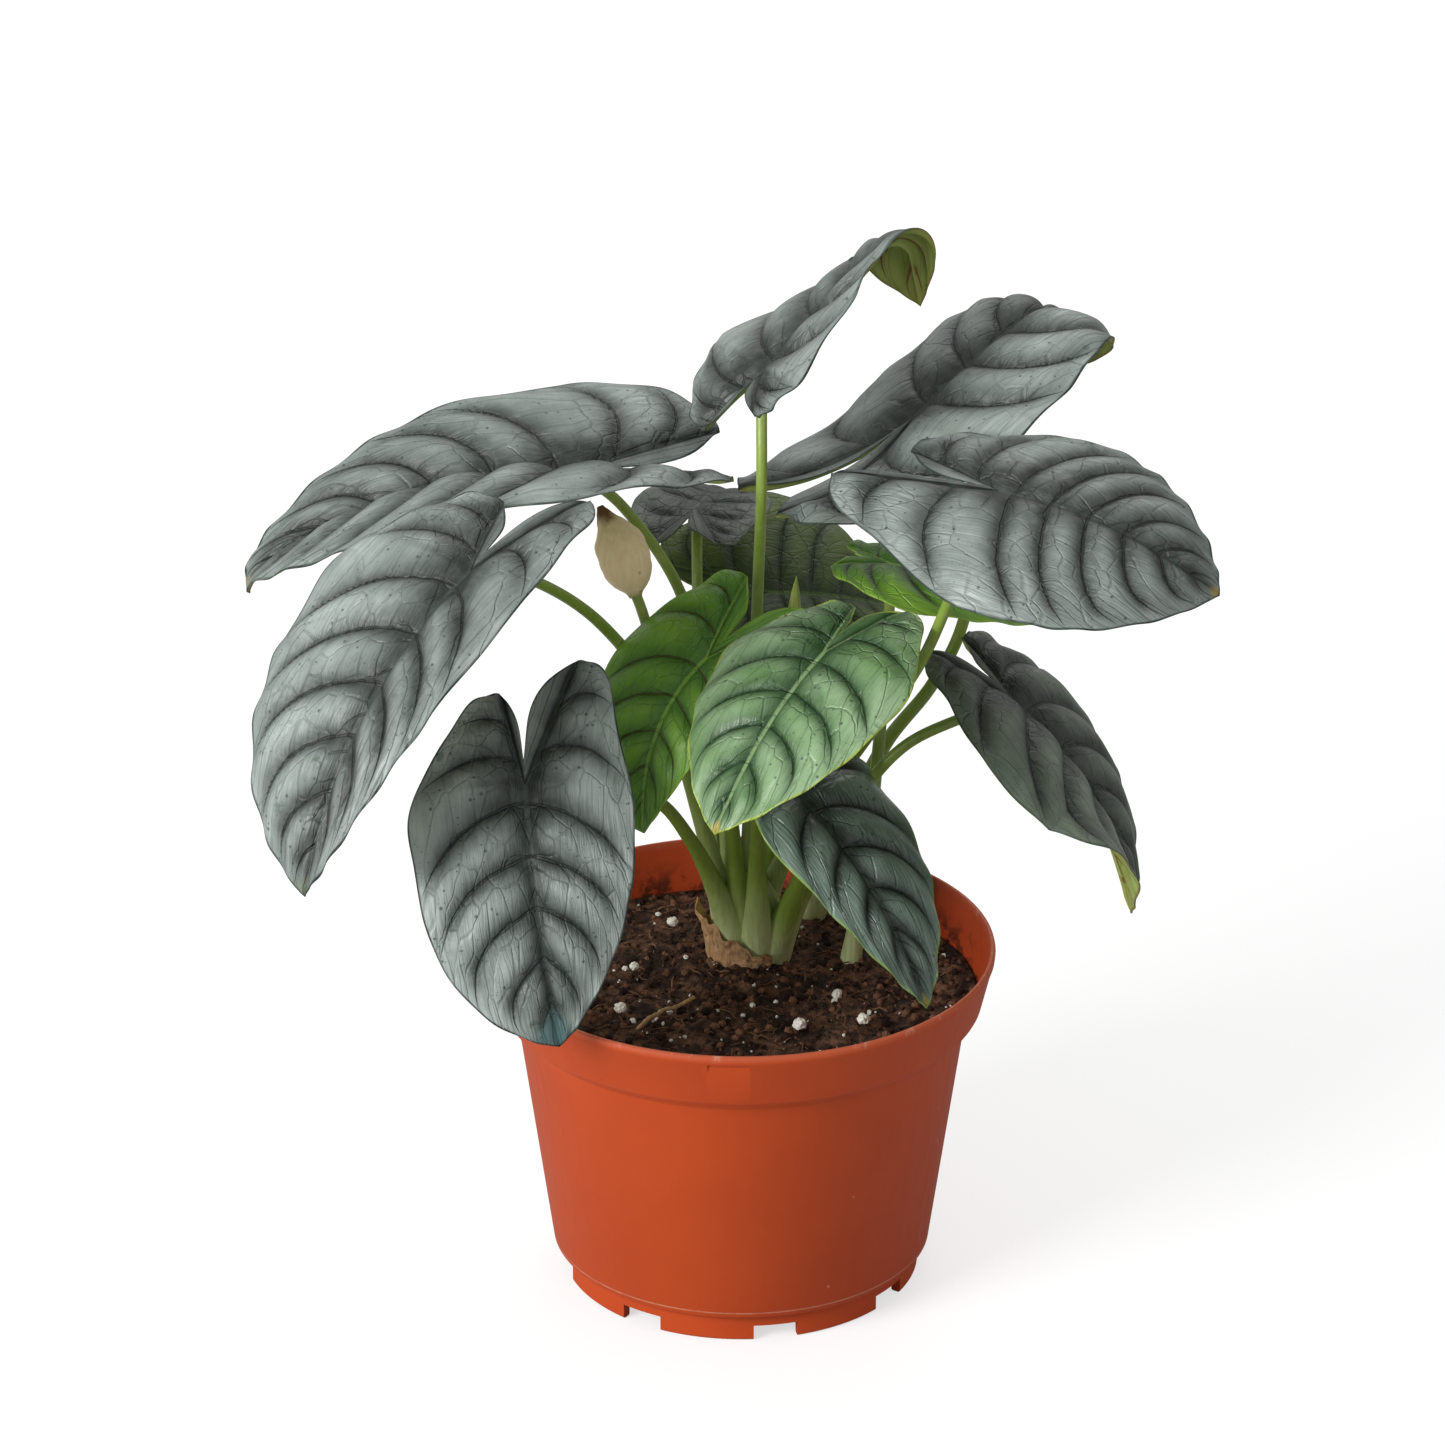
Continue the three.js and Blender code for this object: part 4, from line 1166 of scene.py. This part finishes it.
class ALOCASIA_OT_stalks(bpy.types.Operator):
    """Builds the leaf stalks, from their clasping bases to their blades"""

    bl_idname = "alocasia.stalks"
    bl_label = "Stalks"

    def execute(self, context):
        settings = context.scene.alocasia_stalk
        skin = self.material(settings)
        ends = {leaf["name"]: tuple(blade_end(leaf)) for leaf in LEAVES}
        centre = np.array([*CROWN, 0.0])

        def build(name, points, foot, reach, flare=1.0, node=None):
            """A stalk: a clasping base, then a slim even rod that thins under its blade."""
            centres = even_curve(points, 72)
            length = np.sum(np.linalg.norm(np.diff(centres, axis=0), axis=1))
            share_of = np.linspace(0, 1, len(centres))
            radii = foot + (STALK_TIP_RADIUS - foot) * (1 - (1 - share_of) ** 2.2)
            sheath = max(settings.sheath / MM - foot, 0) * flare
            radii += sheath * np.exp(-((share_of / (reach * 190 / length)) ** 1.7))
            if name in ends:
                radii[-3:] *= (0.94, 0.8, 0.5)
            mesh = rod_mesh(f"petiole_{name}", centres, radii, 20)
            add_mesh(mesh, [skin], [node or f"stalk_{name}"])

        for name, course in CROWN_COURSES.items():
            points = raised(course) + [ends[name]]
            outward = (np.array(points[0]) - centre) * (1, 1, 0)
            foot = centre + outward * 0.45 + (0, 0, SOIL_LEVEL - 3)
            build(name, [tuple(foot)] + points, STALK_RADIUS - 1.2, 0.16)
        for name, course in SOIL_COURSES.items():
            build(name, raised(course) + [ends[name]], SHOOT_RADIUS - 1.2, 0.05, 0.3)
        build("new_leaf", raised([(5, 25, -3)] + NEW_LEAF_COURSE), 2.4, 0.14, 0.55)
        flower = raised([(1, 25, -3)] + FLOWER_COURSE)
        build("flower", flower, 2.4, 0.12, 0.55, "flower_stalk")
        return {"FINISHED"}

    def material(self, settings):
        """Smooth green skin, paler at the foot, with long fine streaks."""
        g = Skin("stalk_skin", 0.38, 0.08, 0.5, 0.1)
        place = g.objects()
        waver = g.times(g.noise(place, 60.0, 2), 0.12, -0.06)
        along = g.math("ADD", g.attribute("share"), waver)
        g.start(g.ramp(along, 0.04, 0.34), settings.foot, settings.middle)
        g.lay(g.ramp(along, 0.72, 1.0), settings.head)
        streaks = g.noise(g.stretch(place, (900, 900, 40)), 1.0, 3)
        g.lay(g.ramp(streaks, 0.4, 0.7, 0.0, 0.35), "#6d8732")
        g.lay(g.patches(place, 120.0, 0.55, 0.75, depth=0.35), "#a8b878")
        g.lay(g.spots(place, (3.0, 2.0, 1.0), 420.0, 0.3, 0.1), "#5b6b2c", 0.4)
        g.set("Roughness", g.times(streaks, 0.2, 0.28))
        return g.finish(streaks, 0.0002, 0.5)


class ALOCASIA_OT_crown(bpy.types.Operator):
    """Builds the crown that the stalks clasp, and the papery old sheath on it"""

    bl_idname = "alocasia.crown"
    bl_label = "Crown and dry sheath"

    def execute(self, context):
        rows, sides, low, high = 26, 72, -11, 31
        heads = [
            math.atan2(course[0][1] - CROWN[1], course[0][0] - CROWN[0])
            for course in CROWN_COURSES.values()
        ]
        profile = [
            (0, low, 0), (8.5, -10, 0), (11, -5, 0), (12.2, 0, 0), (12.6, 5, 0), (11.2, 13, 0),
            (8.5, 22, 0), (5, 29, 0), (0, high, 0),
        ]
        points = []
        for radius, height, _ in catmull(profile, np.linspace(0, 1, rows + 1))[1:-1]:
            lift = max(0.0, min(1.0, (height + 4) / 16))
            for j in range(sides):
                angle = 2 * math.pi * j / sides
                gaps = [math.remainder(angle - head, 2 * math.pi) / 0.28 for head in heads]
                bulge = max(math.exp(-(gap**2)) for gap in gaps)
                reach = max(radius, 0.2) * (0.93 + 0.13 * bulge * lift)
                x, y = CROWN[0] + reach * math.cos(angle), CROWN[1] + reach * math.sin(angle)
                points.append((x, y, SOIL_LEVEL + height))
        end = len(points)
        points += raised([(*CROWN, low), (*CROWN, high)])
        faces = fan_faces(end, 0, sides) + fan_faces(end + 1, end - sides, sides, up=True)
        mesh = mesh_of("crown_body", points, faces + tube_faces(end // sides, sides))
        add_mesh(mesh, [self.material(context.scene.alocasia_stalk)], ["crown"])
        self.dry_sheath(context.scene.alocasia_flower)
        return {"FINISHED"}

    def material(self, settings):
        """Pale skin that turns green upwards, with dry rings at the foot."""
        g = Skin("crown_skin", 0.42, 0.08, 0.5)
        place = g.objects()
        height = g.split(place)[2]
        wobble = g.times(g.noise(place, 90.0, 3), 0.008, -0.004)
        low, high = (SOIL_LEVEL + 2) * MM, (SOIL_LEVEL + 32) * MM
        g.start(g.ramp(g.math("ADD", height, wobble), low, high), settings.foot, settings.middle)
        scars = g.patches(g.stretch(place, (60, 60, 420)), 1.0, 0.56, 0.66, 3, 0.6, 0.5)
        fade = g.ramp(height, (SOIL_LEVEL + 10) * MM, (SOIL_LEVEL + 1) * MM)
        g.lay(scars, settings.scar, g.times(fade, 0.6))
        return g.finish(g.noise(g.stretch(place, (700, 700, 60)), 1.0, 3), 0.0003, 0.6)

    def dry_sheath(self, flower):
        """A crinkled papery sheet that wraps the left of the crown, torn along its top."""
        columns, rows = 90, 34
        peak = 0.16
        top, bottom = [], []
        for i in range(columns + 1):
            share_of = i / columns
            angle = math.radians(146 + 150 * share_of)
            tear = 0.45 + 0.55 * math.sin(math.pi * min(1, 1.15 * share_of + 0.05)) ** 0.6
            tear += 0.28 * noise.noise(Vector((share_of * 9, 3.1, 0)))
            tear += 0.5 * math.exp(-(((share_of - peak) / 0.06) ** 2))
            for j in range(rows + 1):
                up = j / rows
                crinkle = 0.9 * noise.noise(Vector((share_of * 16, up * 5, 7)))
                crinkle += 0.3 * noise.noise(Vector((share_of * 50, up * 14, 2)))
                flare = 1.6 * up**2 + 1.8 * math.exp(-(((share_of - peak) / 0.09) ** 2)) * up
                reach = 14.0 + flare + crinkle * (0.4 + up)
                height = SOIL_LEVEL + 0.4 + 15 * up * max(tear, 0.2)
                for sheet, offset in ((top, 0.2), (bottom, -0.2)):
                    r = reach + offset
                    x, y = CROWN[0] + r * math.cos(angle), CROWN[1] + r * math.sin(angle)
                    sheet.append((x, y, height))
        step = rows + 1
        corners = [i * step + j for i in range(columns) for j in range(rows)]
        faces, back, wall = plate_faces(
            [(a, a + step, a + step + 1, a + 1) for a in corners], len(top)
        )
        mesh = mesh_of("papery_sheath", top + bottom, faces + back + wall)
        add_mesh(mesh, [dry_material("papery_skin", flower)], ["dry_sheath"])


class ALOCASIA_OT_pot(bpy.types.Operator):
    """Builds the plastic pot with its collar, drain notches and mould mark"""

    bl_idname = "alocasia.pot"
    bl_label = "Pot"

    def execute(self, context):
        settings = context.scene.alocasia_pot
        wall, top, rim, body, foot = (
            settings.wall / MM, POT_HEIGHT, RIM_RADIUS, BODY_RADIUS, FOOT_RADIUS
        )
        ring = 56.5
        inside = ring - 2 * wall
        profile = [
            (0, 0), (24, 0), (24.8, 0.3), (28, 4), (inside, 4), (inside, 0.4), (inside + 0.4, 0),
            (ring - 0.5, 0), (ring, 0.5), (ring, 7.6), (ring + 0.4, 8.2), (foot - 0.6, 9.5),
            (foot, 10.4), (body, SHOULDER - 0.5), (body + 0.3, SHOULDER + 0.2),
            (rim - 4.5, COLLAR - 0.4), (rim - 4, COLLAR + 0.5), (rim - 0.55, top - 3.2),
            (rim - 0.15, top - 2.6), (rim, top - 1.2), (rim - 0.2, top - 0.35), (rim - 0.7, top),
            (rim - wall + 0.2, top), (rim - wall - 0.1, top - 0.5), (pot_inner(COLLAR), COLLAR),
            (pot_inner(SHOULDER), SHOULDER), (pot_inner(10), 10), (inside, 4 + wall),
            (0, 4 + wall),
        ]
        pot = turned("pot_shell", profile, 192)
        notch = (4 * wall + 4, settings.notch_width / MM, 2 * settings.notch_height / MM)
        cutters = [((inside, 0, 0), notch, -79 + 45 * i) for i in range(8)]
        mark = (1.6, settings.mark_width / MM, 4.4)
        cut(pot, cutters + [((rim - 0.68, 0, top - 5.2), mark, -93)])
        deselect()
        pot.select_set(True)
        bpy.context.view_layer.objects.active = pot
        bpy.ops.object.shade_smooth_by_angle(angle=math.radians(28))
        # Marks the inner wall's faces, which the material darkens with painted shade and soil.
        values = []
        for face in pot.data.polygons:
            (x, y, z), (out_x, out_y, _) = face.center, face.normal
            looks_in = out_x * x + out_y * y < -0.3 * math.hypot(x, y)
            values.append(1.0 if looks_in and z > 0.01 else 0.0)
        pot.data.attributes.new("inside", "FLOAT", "FACE").data.foreach_set("value", values)
        pot.data.materials.append(self.material(settings))
        add_piece(pot, ["pot"])
        return {"FINISHED"}

    def material(self, settings):
        """Moulded plastic with scuffs, a pale seam and lip, painted shade on the inner wall, and
        soil on the inside.
        """
        g = Skin("pot_plastic", 0.5, 0.0, 0.24)
        place, inside = g.objects(), g.attribute("inside")
        height = g.split(place)[2]
        g.start(g.times(g.patches(place, 16.0, 0.3, 0.7, 4), 0.5), settings.shell, settings.shade)
        scuffs = g.noise(g.stretch(place, (220, 220, 30)), 1.0, 4, 0.7)
        g.lay(g.ramp(scuffs, 0.68, 0.82, 0.0, 0.10), settings.dust)
        g.lay(g.spots(place, (0.0, 0.0, 5.0), 260.0, 0.25, 0.035), settings.dust, 0.45)
        off_seam = g.math("ABSOLUTE", g.math("SUBTRACT", height, 11.4 * MM))
        seam = g.ramp(off_seam, 0.35 * MM, 0.1 * MM)
        g.lay(seam, settings.dust, g.ramp(scuffs, 0.3, 0.6, 0.2, 0.55))
        lip = g.ramp(height, (POT_HEIGHT - 2.6) * MM, POT_HEIGHT * MM)
        g.lay(lip, settings.dust, g.ramp(scuffs, 0.55, 0.7, 0.12, 0.6))
        # Painted shade: the inner wall is darkened to a deeper red where the pot's inside lies in
        # shade.
        g.lay(inside, "#7a2a1a", 0.35)
        low = g.ramp(height, (SOIL_LEVEL + 11) * MM, (SOIL_LEVEL + 1) * MM)
        soot = g.times(g.patches(place, 140.0, 0.46, 0.62, 4, 0.7), low)
        g.lay(g.times(soot, inside), "#2a160e", 0.85)
        g.set("Roughness", g.times(scuffs, 0.2, 0.4))
        grain = g.times(g.noise(place, 900.0, 2), 0.3, g.noise(place, 30.0, 2))
        return g.finish(grain, 0.0003, 0.35)


def soil_top(x, y):
    """Height of the soil's surface, with its mounds and small bumps."""
    wave = math.sin(x / 9 + 1) * math.cos(y / 11) + 0.5 * math.sin((x + 2 * y) / 13)
    mound = 2.2 * math.exp(-((math.hypot(x - CROWN[0], y - CROWN[1]) / 22) ** 2))
    rough = noise.fractal(Vector((x, y, 0)) / 5.5, 0.9, 2.1, 4)
    inward = min(1.0, (pot_inner(SOIL_LEVEL) - math.hypot(x, y)) / 6)
    return SOIL_LEVEL + (1.0 * wave + rough * 1.3) * max(0.25, inward) + mound


class ALOCASIA_OT_soil(bpy.types.Operator):
    """Builds the soil with loose crumbs, fibres and small white grains"""

    bl_idname = "alocasia.soil"
    bl_label = "Soil"

    def execute(self, context):
        settings = context.scene.alocasia_soil
        self.bed(settings)
        draw = random.Random(11)
        spread = pot_inner(SOIL_LEVEL) - 2.2

        def spot(limit=spread):
            radius, angle = limit * math.sqrt(draw.random()), draw.random() * 2 * math.pi
            return radius * math.cos(angle), radius * math.sin(angle)

        def lay(at, size_of, low, span, sink):
            """A turned and stretched place on the soil for a ball of about this size."""
            measure = [size_of * (low + span * draw.random()) for _ in range(3)]
            spin, tilt = (Matrix.Rotation(draw.random() * 6.3, 4, axis) for axis in "ZX")
            place = Matrix.Translation((*at, soil_top(*at) + sink * size_of))
            return place @ (spin @ tilt) @ Matrix.Diagonal((*measure, 1))

        crumbs, tones, grains = [], [], []
        for _ in range(settings.crumbs):
            crumbs.append(lay(spot(), 0.45 + 1.25 * draw.random() ** 2.2, 0.7, 0.6, 0.25))
            tones.append(draw.random())
        mesh = scatter("soil_crumbs", crumbs, tones)
        add_mesh(mesh, [self.crumb_material(settings)])
        for _ in range(settings.grains):
            grains.append(lay(spot(), 0.3 + 0.9 * draw.random() ** 2, 0.75, 0.5, 0.4))
        mesh = scatter("soil_grains", grains, [0.5] * len(grains))
        add_mesh(mesh, [grain_material(settings)])
        self.fibres(settings, draw, spot)
        return {"FINISHED"}

    def bed(self, settings):
        """The soil's body: a fine bumpy top, sides that follow the wall and a flat bottom."""
        sides, rings, depths = 260, 110, (2.2, 6.2, 16, 30)
        edge = pot_inner(SOIL_LEVEL) - 0.5
        circles = [(edge * i / rings, None) for i in range(1, rings + 1)]
        levels = [SOIL_LEVEL - depth for depth in depths]
        circles += [(pot_inner(level) - 0.5, level) for level in levels]
        points = [(0, 0, soil_top(0, 0))]
        for radius, height in circles:
            for j in range(sides):
                angle = 2 * math.pi * j / sides
                x, y = radius * math.cos(angle), radius * math.sin(angle)
                points.append((x, y, soil_top(x, y) if height is None else height))
        end = len(points)
        points.append((0, 0, levels[-1]))
        faces = fan_faces(0, 1, sides, up=True) + fan_faces(end, end - sides, sides)
        faces += tube_faces(len(circles), sides, first=1, inward=True)
        mesh = mesh_of("soil_bed", points, faces)
        g = Skin("soil_skin", 0.9, 0.0, 0.25)
        place = g.objects()
        coarse, fine = g.noise(place, 260.0, 5, 0.7), g.noise(place, 900.0, 4, 0.7)
        g.start(g.ramp(coarse, 0.35, 0.68), settings.dark, settings.light)
        g.lay(g.ramp(fine, 0.5, 0.75, 0.0, 0.6), "#86614a")
        g.lay(g.patches(place, 120.0, 0.42, 0.6, depth=0.75), "#170c08")
        skin = g.finish(g.math("ADD", coarse, g.times(fine, 0.5)), 0.0012)
        add_mesh(mesh, [skin], ["potting_soil"])

    def crumb_material(self, settings):
        g = Skin("crumb_skin", 0.9, 0.0, 0.25)
        place = g.objects()
        g.start(g.ramp(g.attribute("share"), 0.2, 1.0), settings.dark, settings.light)
        g.lay(g.patches(place, 700.0, 0.4, 0.7, depth=0.6), "#3b2418")
        return g.finish(g.noise(place, 1500.0, 3), 0.0006, 0.9)

    def fibres(self, settings, draw, spot):
        """Thin bent fibres and bark slivers lying on the soil."""
        sides, steps = 5, 7
        ring = [2 * math.pi * j / sides for j in range(sides)]
        points, faces, tones = [], [], []
        for _ in range(settings.fibres):
            x, y = spot(pot_inner(SOIL_LEVEL) - 7)
            length, heading = 3 + 9 * draw.random() ** 1.6, draw.random() * 2 * math.pi
            bend = (draw.random() - 0.5) * 2.2
            radius = 0.13 + 0.3 * draw.random() ** 3
            start = len(points)
            tones += [draw.random()] * sides * (steps + 1)
            for i in range(steps + 1):
                t = i / steps
                way = heading + bend * t
                x += length / steps * math.cos(way)
                y += length / steps * math.sin(way)
                z = soil_top(x, y) + 0.6 + 1.0 * math.sin(math.pi * t) * draw.random()
                thin = radius * (0.35 + 0.65 * math.sin(math.pi * min(0.98, max(0.02, t))))
                for angle in ring:
                    out, up = thin * math.cos(angle), thin * math.sin(angle)
                    points.append((x - out * math.sin(way), y + out * math.cos(way), z + up))
            faces += tube_faces(steps + 1, sides, start, inward=True)
            faces.append(tuple(start + j for j in range(sides)))
            faces.append(tuple(start + steps * sides + j for j in reversed(range(sides))))
        mesh = mesh_of("soil_fibres", points, faces)
        set_share(mesh, tones)
        clean(mesh)
        g = Skin("fibre_skin", 0.8, 0.0, 0.3)
        g.start(g.attribute("share"), "#4a2f20", settings.fibre)
        g.lay(g.patches(g.objects(), 800.0, 0.4, 0.7, depth=0.5), "#2c1a11")
        g.set("Base Color", g.colour)
        add_mesh(mesh, [g.material])


class ALOCASIA_OT_litter(bpy.types.Operator):
    """Builds the larger perlite grains and the dry twig that lie on the soil"""

    bl_idname = "alocasia.litter"
    bl_label = "Grains and twig"

    def execute(self, context):
        skin = grain_material(context.scene.alocasia_soil)
        for number_of in range(1, 7):
            node = f"perlite_{number_of}"
            low, high = (Vector(corner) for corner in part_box(node))
            half, middle = (high - low) / 2, (high + low) / 2
            deselect()
            bpy.ops.mesh.primitive_ico_sphere_add(subdivisions=4, radius=1)
            grain = bpy.context.active_object
            grain.name = f"grain_{number_of}"
            for vertex in grain.data.vertices:
                shift = Vector((number_of * 3, 0, 0))
                lump = noise.fractal(vertex.co * 1.7 + shift, 1.0, 2.0, 3)
                place = vertex.co * (0.92 + 0.22 * lump)
                vertex.co = Vector(place[k] * half[k] + middle[k] for k in range(3))
            bpy.ops.object.shade_smooth()
            grain.data.materials.append(skin)
            add_piece(grain, [node])
        course = raised([(-33, -35, 3.4), (-25, -24, 4.3), (-21, -20.5, 3.6), (-15, -14, 4)])
        centres = even_curve(course, 60)
        for i, centre in enumerate(centres):
            centre += np.array(noise.noise_vector(Vector((i * 0.13, 0, 5)))) * 0.35
        radii = np.array([0.62 + 0.22 * noise.noise(Vector((i * 0.3, 1, 1))) for i in range(61)])
        radii[:4] *= np.linspace(0.4, 1, 4)
        mesh = rod_mesh("dry_twig", centres, radii, 14)
        skin = dry_material("twig_skin", context.scene.alocasia_flower)
        add_mesh(mesh, [skin], ["twig"])
        return {"FINISHED"}


class ALOCASIA_OT_flower(bpy.types.Operator):
    """Builds the old flower sheath and the rolled new leaf"""

    bl_idname = "alocasia.flower"
    bl_label = "Old flower and new leaf"

    def execute(self, context):
        foot, tip = (np.array(end, float) for end in raised(SPATHE_ENDS))
        shares = np.linspace(0, 1, 64)
        side = np.array([0.5, 0.2, 0.3])
        centres = foot + (tip - foot) * shares[:, None]
        centres += np.outer(np.sin(shares * 3.1) * 2.0, side)
        knots = [0, 0.04, 0.12, 0.25, 0.42, 0.6, 0.75, 0.87, 0.95, 1]
        widths = [2.0, 2.6, 5.0, 7.6, 8.5, 7.6, 5.4, 3.0, 1.8, 0.9]
        radii = np.interp(shares, knots, widths)
        radii = np.convolve(np.pad(radii, 2, mode="edge"), np.ones(5) / 5, mode="valid")
        mesh = rod_mesh("flower_sheath", centres, radii, 48)
        for vertex in mesh.vertices:
            out = noise.noise(vertex.co * 160) * 0.0007 + noise.noise(vertex.co * 420) * 0.00025
            vertex.co += vertex.normal * out
        skin = self.material(context.scene.alocasia_flower)
        add_mesh(mesh, [skin], ["old_spathe"])
        foot, tip = (np.array(end, float) for end in raised(SPIKE_ENDS))
        shares = np.linspace(-0.06, 1, 40)
        centres = foot + (tip - foot) * shares[:, None]
        radii = np.interp(shares, [-0.06, 0.1, 0.35, 0.7, 0.92, 1], [1.7, 2.1, 2.2, 1.4, 0.5, 0.15])
        mesh = rod_mesh("rolled_leaf", centres, radii, 20)
        g = Skin("rolled_skin", 0.4, 0.1, 0.5)
        streaks = g.noise(g.stretch(g.objects(), (900, 900, 60)), 1.0, 3)
        g.start(g.ramp(streaks, 0.35, 0.7), "#b3bf62", "#8aa04a")
        add_mesh(mesh, [g.finish(streaks, 0.0003, 0.6)], ["new_leaf_spike"])
        return {"FINISHED"}

    def material(self, settings):
        """Cream papery skin, green at the foot and withered at the tip."""
        g = Skin("flower_skin", 0.6, 0.1, 0.35)
        where, place = g.attribute("share"), g.objects()
        fibres = g.noise(g.stretch(place, (700, 700, 90)), 1.0, 3)
        g.start(g.ramp(fibres, 0.35, 0.7, 0.0, 0.5), settings.cream, "#efd09c")
        wobble = g.times(g.noise(place, 200.0, 3), 0.2, -0.1)
        g.lay(g.ramp(g.math("ADD", where, wobble), 0.8, 0.93), settings.withered)
        g.lay(g.ramp(where, 0.08, 0.0), "#a9b06a")
        g.lay(g.spots(place, (2.0, 0.0, 0.0), 380.0, 0.35, 0.12), "#9a7350", 0.5)
        return g.finish(fibres, 0.0004, 0.7)


class ALOCASIA_OT_stage(bpy.types.Operator):
    """Adds the floor, the lights and the camera"""

    bl_idname = "alocasia.stage"
    bl_label = "Stage"

    def execute(self, context):
        settings = context.scene.alocasia_stage
        seen_sky, seen_floor = 1.0, (0.64, 0.95)
        deselect()
        bpy.ops.mesh.primitive_plane_add(size=12, location=(0, 0, 0))
        floor = context.active_object
        floor.name = "studio_floor"
        floor.data.transform(Matrix.Translation((0, 0, -0.0002)))
        g = Skin("floor_paint", 0.9, 0.0, 0.2)
        place = g.objects()
        tint = g.mix(g.patches(place, 3.0, 0.3, 0.7, 2, depth=0.06), settings.floor, "#b0b0b0")
        g.set("Base Color", tint)
        g.set("Emission Color", "#ffffff")
        far = g.add("ShaderNodeVectorMath", {0: place}, operation="LENGTH").outputs["Value"]
        seen = g.add("ShaderNodeLightPath").outputs["Is Camera Ray"]
        g.set("Emission Strength", g.times(seen, g.ramp(far, 0.5, 2.2, *seen_floor)))
        floor.data.materials.append(g.material)
        world = bpy.data.worlds.new("studio_sky")
        context.scene.world = world
        world.use_nodes = True
        g = Graph(world.node_tree)
        backdrop = world.node_tree.nodes["Background"]
        g.feed("#ffffff", backdrop.inputs["Color"])
        seen = g.add("ShaderNodeLightPath").outputs["Is Camera Ray"]
        strength = g.times(seen, seen_sky - settings.sky, settings.sky)
        g.feed(strength, backdrop.inputs["Strength"])
        for name, place, width, power in (
            ("key", (-1.42, -1.19, 0.9), 0.9, settings.key),
            ("fill", (1.3, -0.9, 0.9), 1.4, settings.fill),
            ("rear", (0.2, 1.4, 1.5), 1.2, 5 * settings.fill),
        ):
            lamp = bpy.data.objects.new(name, bpy.data.lights.new(name, "AREA"))
            lamp.data.size, lamp.data.energy = width, power
            self.aim(lamp, place, (0, 0, 0.18))
        camera = bpy.data.objects.new("camera", bpy.data.cameras.new("camera"))
        self.aim(camera, (-0.006, -2.0065, 1.0894), (-0.006, 0, 0.1872))
        camera.data.sensor_width = 36
        camera.data.lens = 176.56
        camera.data.clip_end = 30
        context.scene.view_settings.view_transform = "Standard"
        context.scene.camera = camera
        return {"FINISHED"}

    def aim(self, thing, place, target):
        """Links a lamp or camera at a place, looking at a target."""
        bpy.context.scene.collection.objects.link(thing)
        thing.location = place
        ahead = Vector(target) - thing.location
        thing.rotation_euler = ahead.to_track_quat("-Z", "Y").to_euler()


OPERATORS = (
    ALOCASIA_OT_stage,
    ALOCASIA_OT_pot,
    ALOCASIA_OT_soil,
    ALOCASIA_OT_litter,
    ALOCASIA_OT_crown,
    ALOCASIA_OT_stalks,
    ALOCASIA_OT_leaves,
    ALOCASIA_OT_flower,
)


class ALOCASIA_PT_panel(bpy.types.Panel):
    """Lists the builders and their settings."""

    bl_label = "Potted Alocasia"
    bl_idname = "ALOCASIA_PT_panel"
    bl_space_type = "VIEW_3D"
    bl_region_type = "UI"
    bl_category = "Alocasia"

    def draw(self, context):
        for operator in OPERATORS:
            self.layout.operator(operator.bl_idname)
        for key, group in SETTINGS.items():
            box = self.layout.box()
            box.label(text=group.__doc__)
            for name in group.__annotations__:
                box.prop(getattr(context.scene, key), name)


def register():
    for kind in (*SETTINGS.values(), *OPERATORS, ALOCASIA_PT_panel):
        bpy.utils.register_class(kind)
    for key, kind in SETTINGS.items():
        setattr(bpy.types.Scene, key, bpy.props.PointerProperty(type=kind))


def unregister():
    for key in SETTINGS:
        delattr(bpy.types.Scene, key)
    for kind in reversed((*SETTINGS.values(), *OPERATORS, ALOCASIA_PT_panel)):
        bpy.utils.unregister_class(kind)


def main():
    register()
    for operator in OPERATORS:
        group, name = operator.bl_idname.split(".")
        getattr(getattr(bpy.ops, group), name)()


if __name__ == "__main__":
    main()
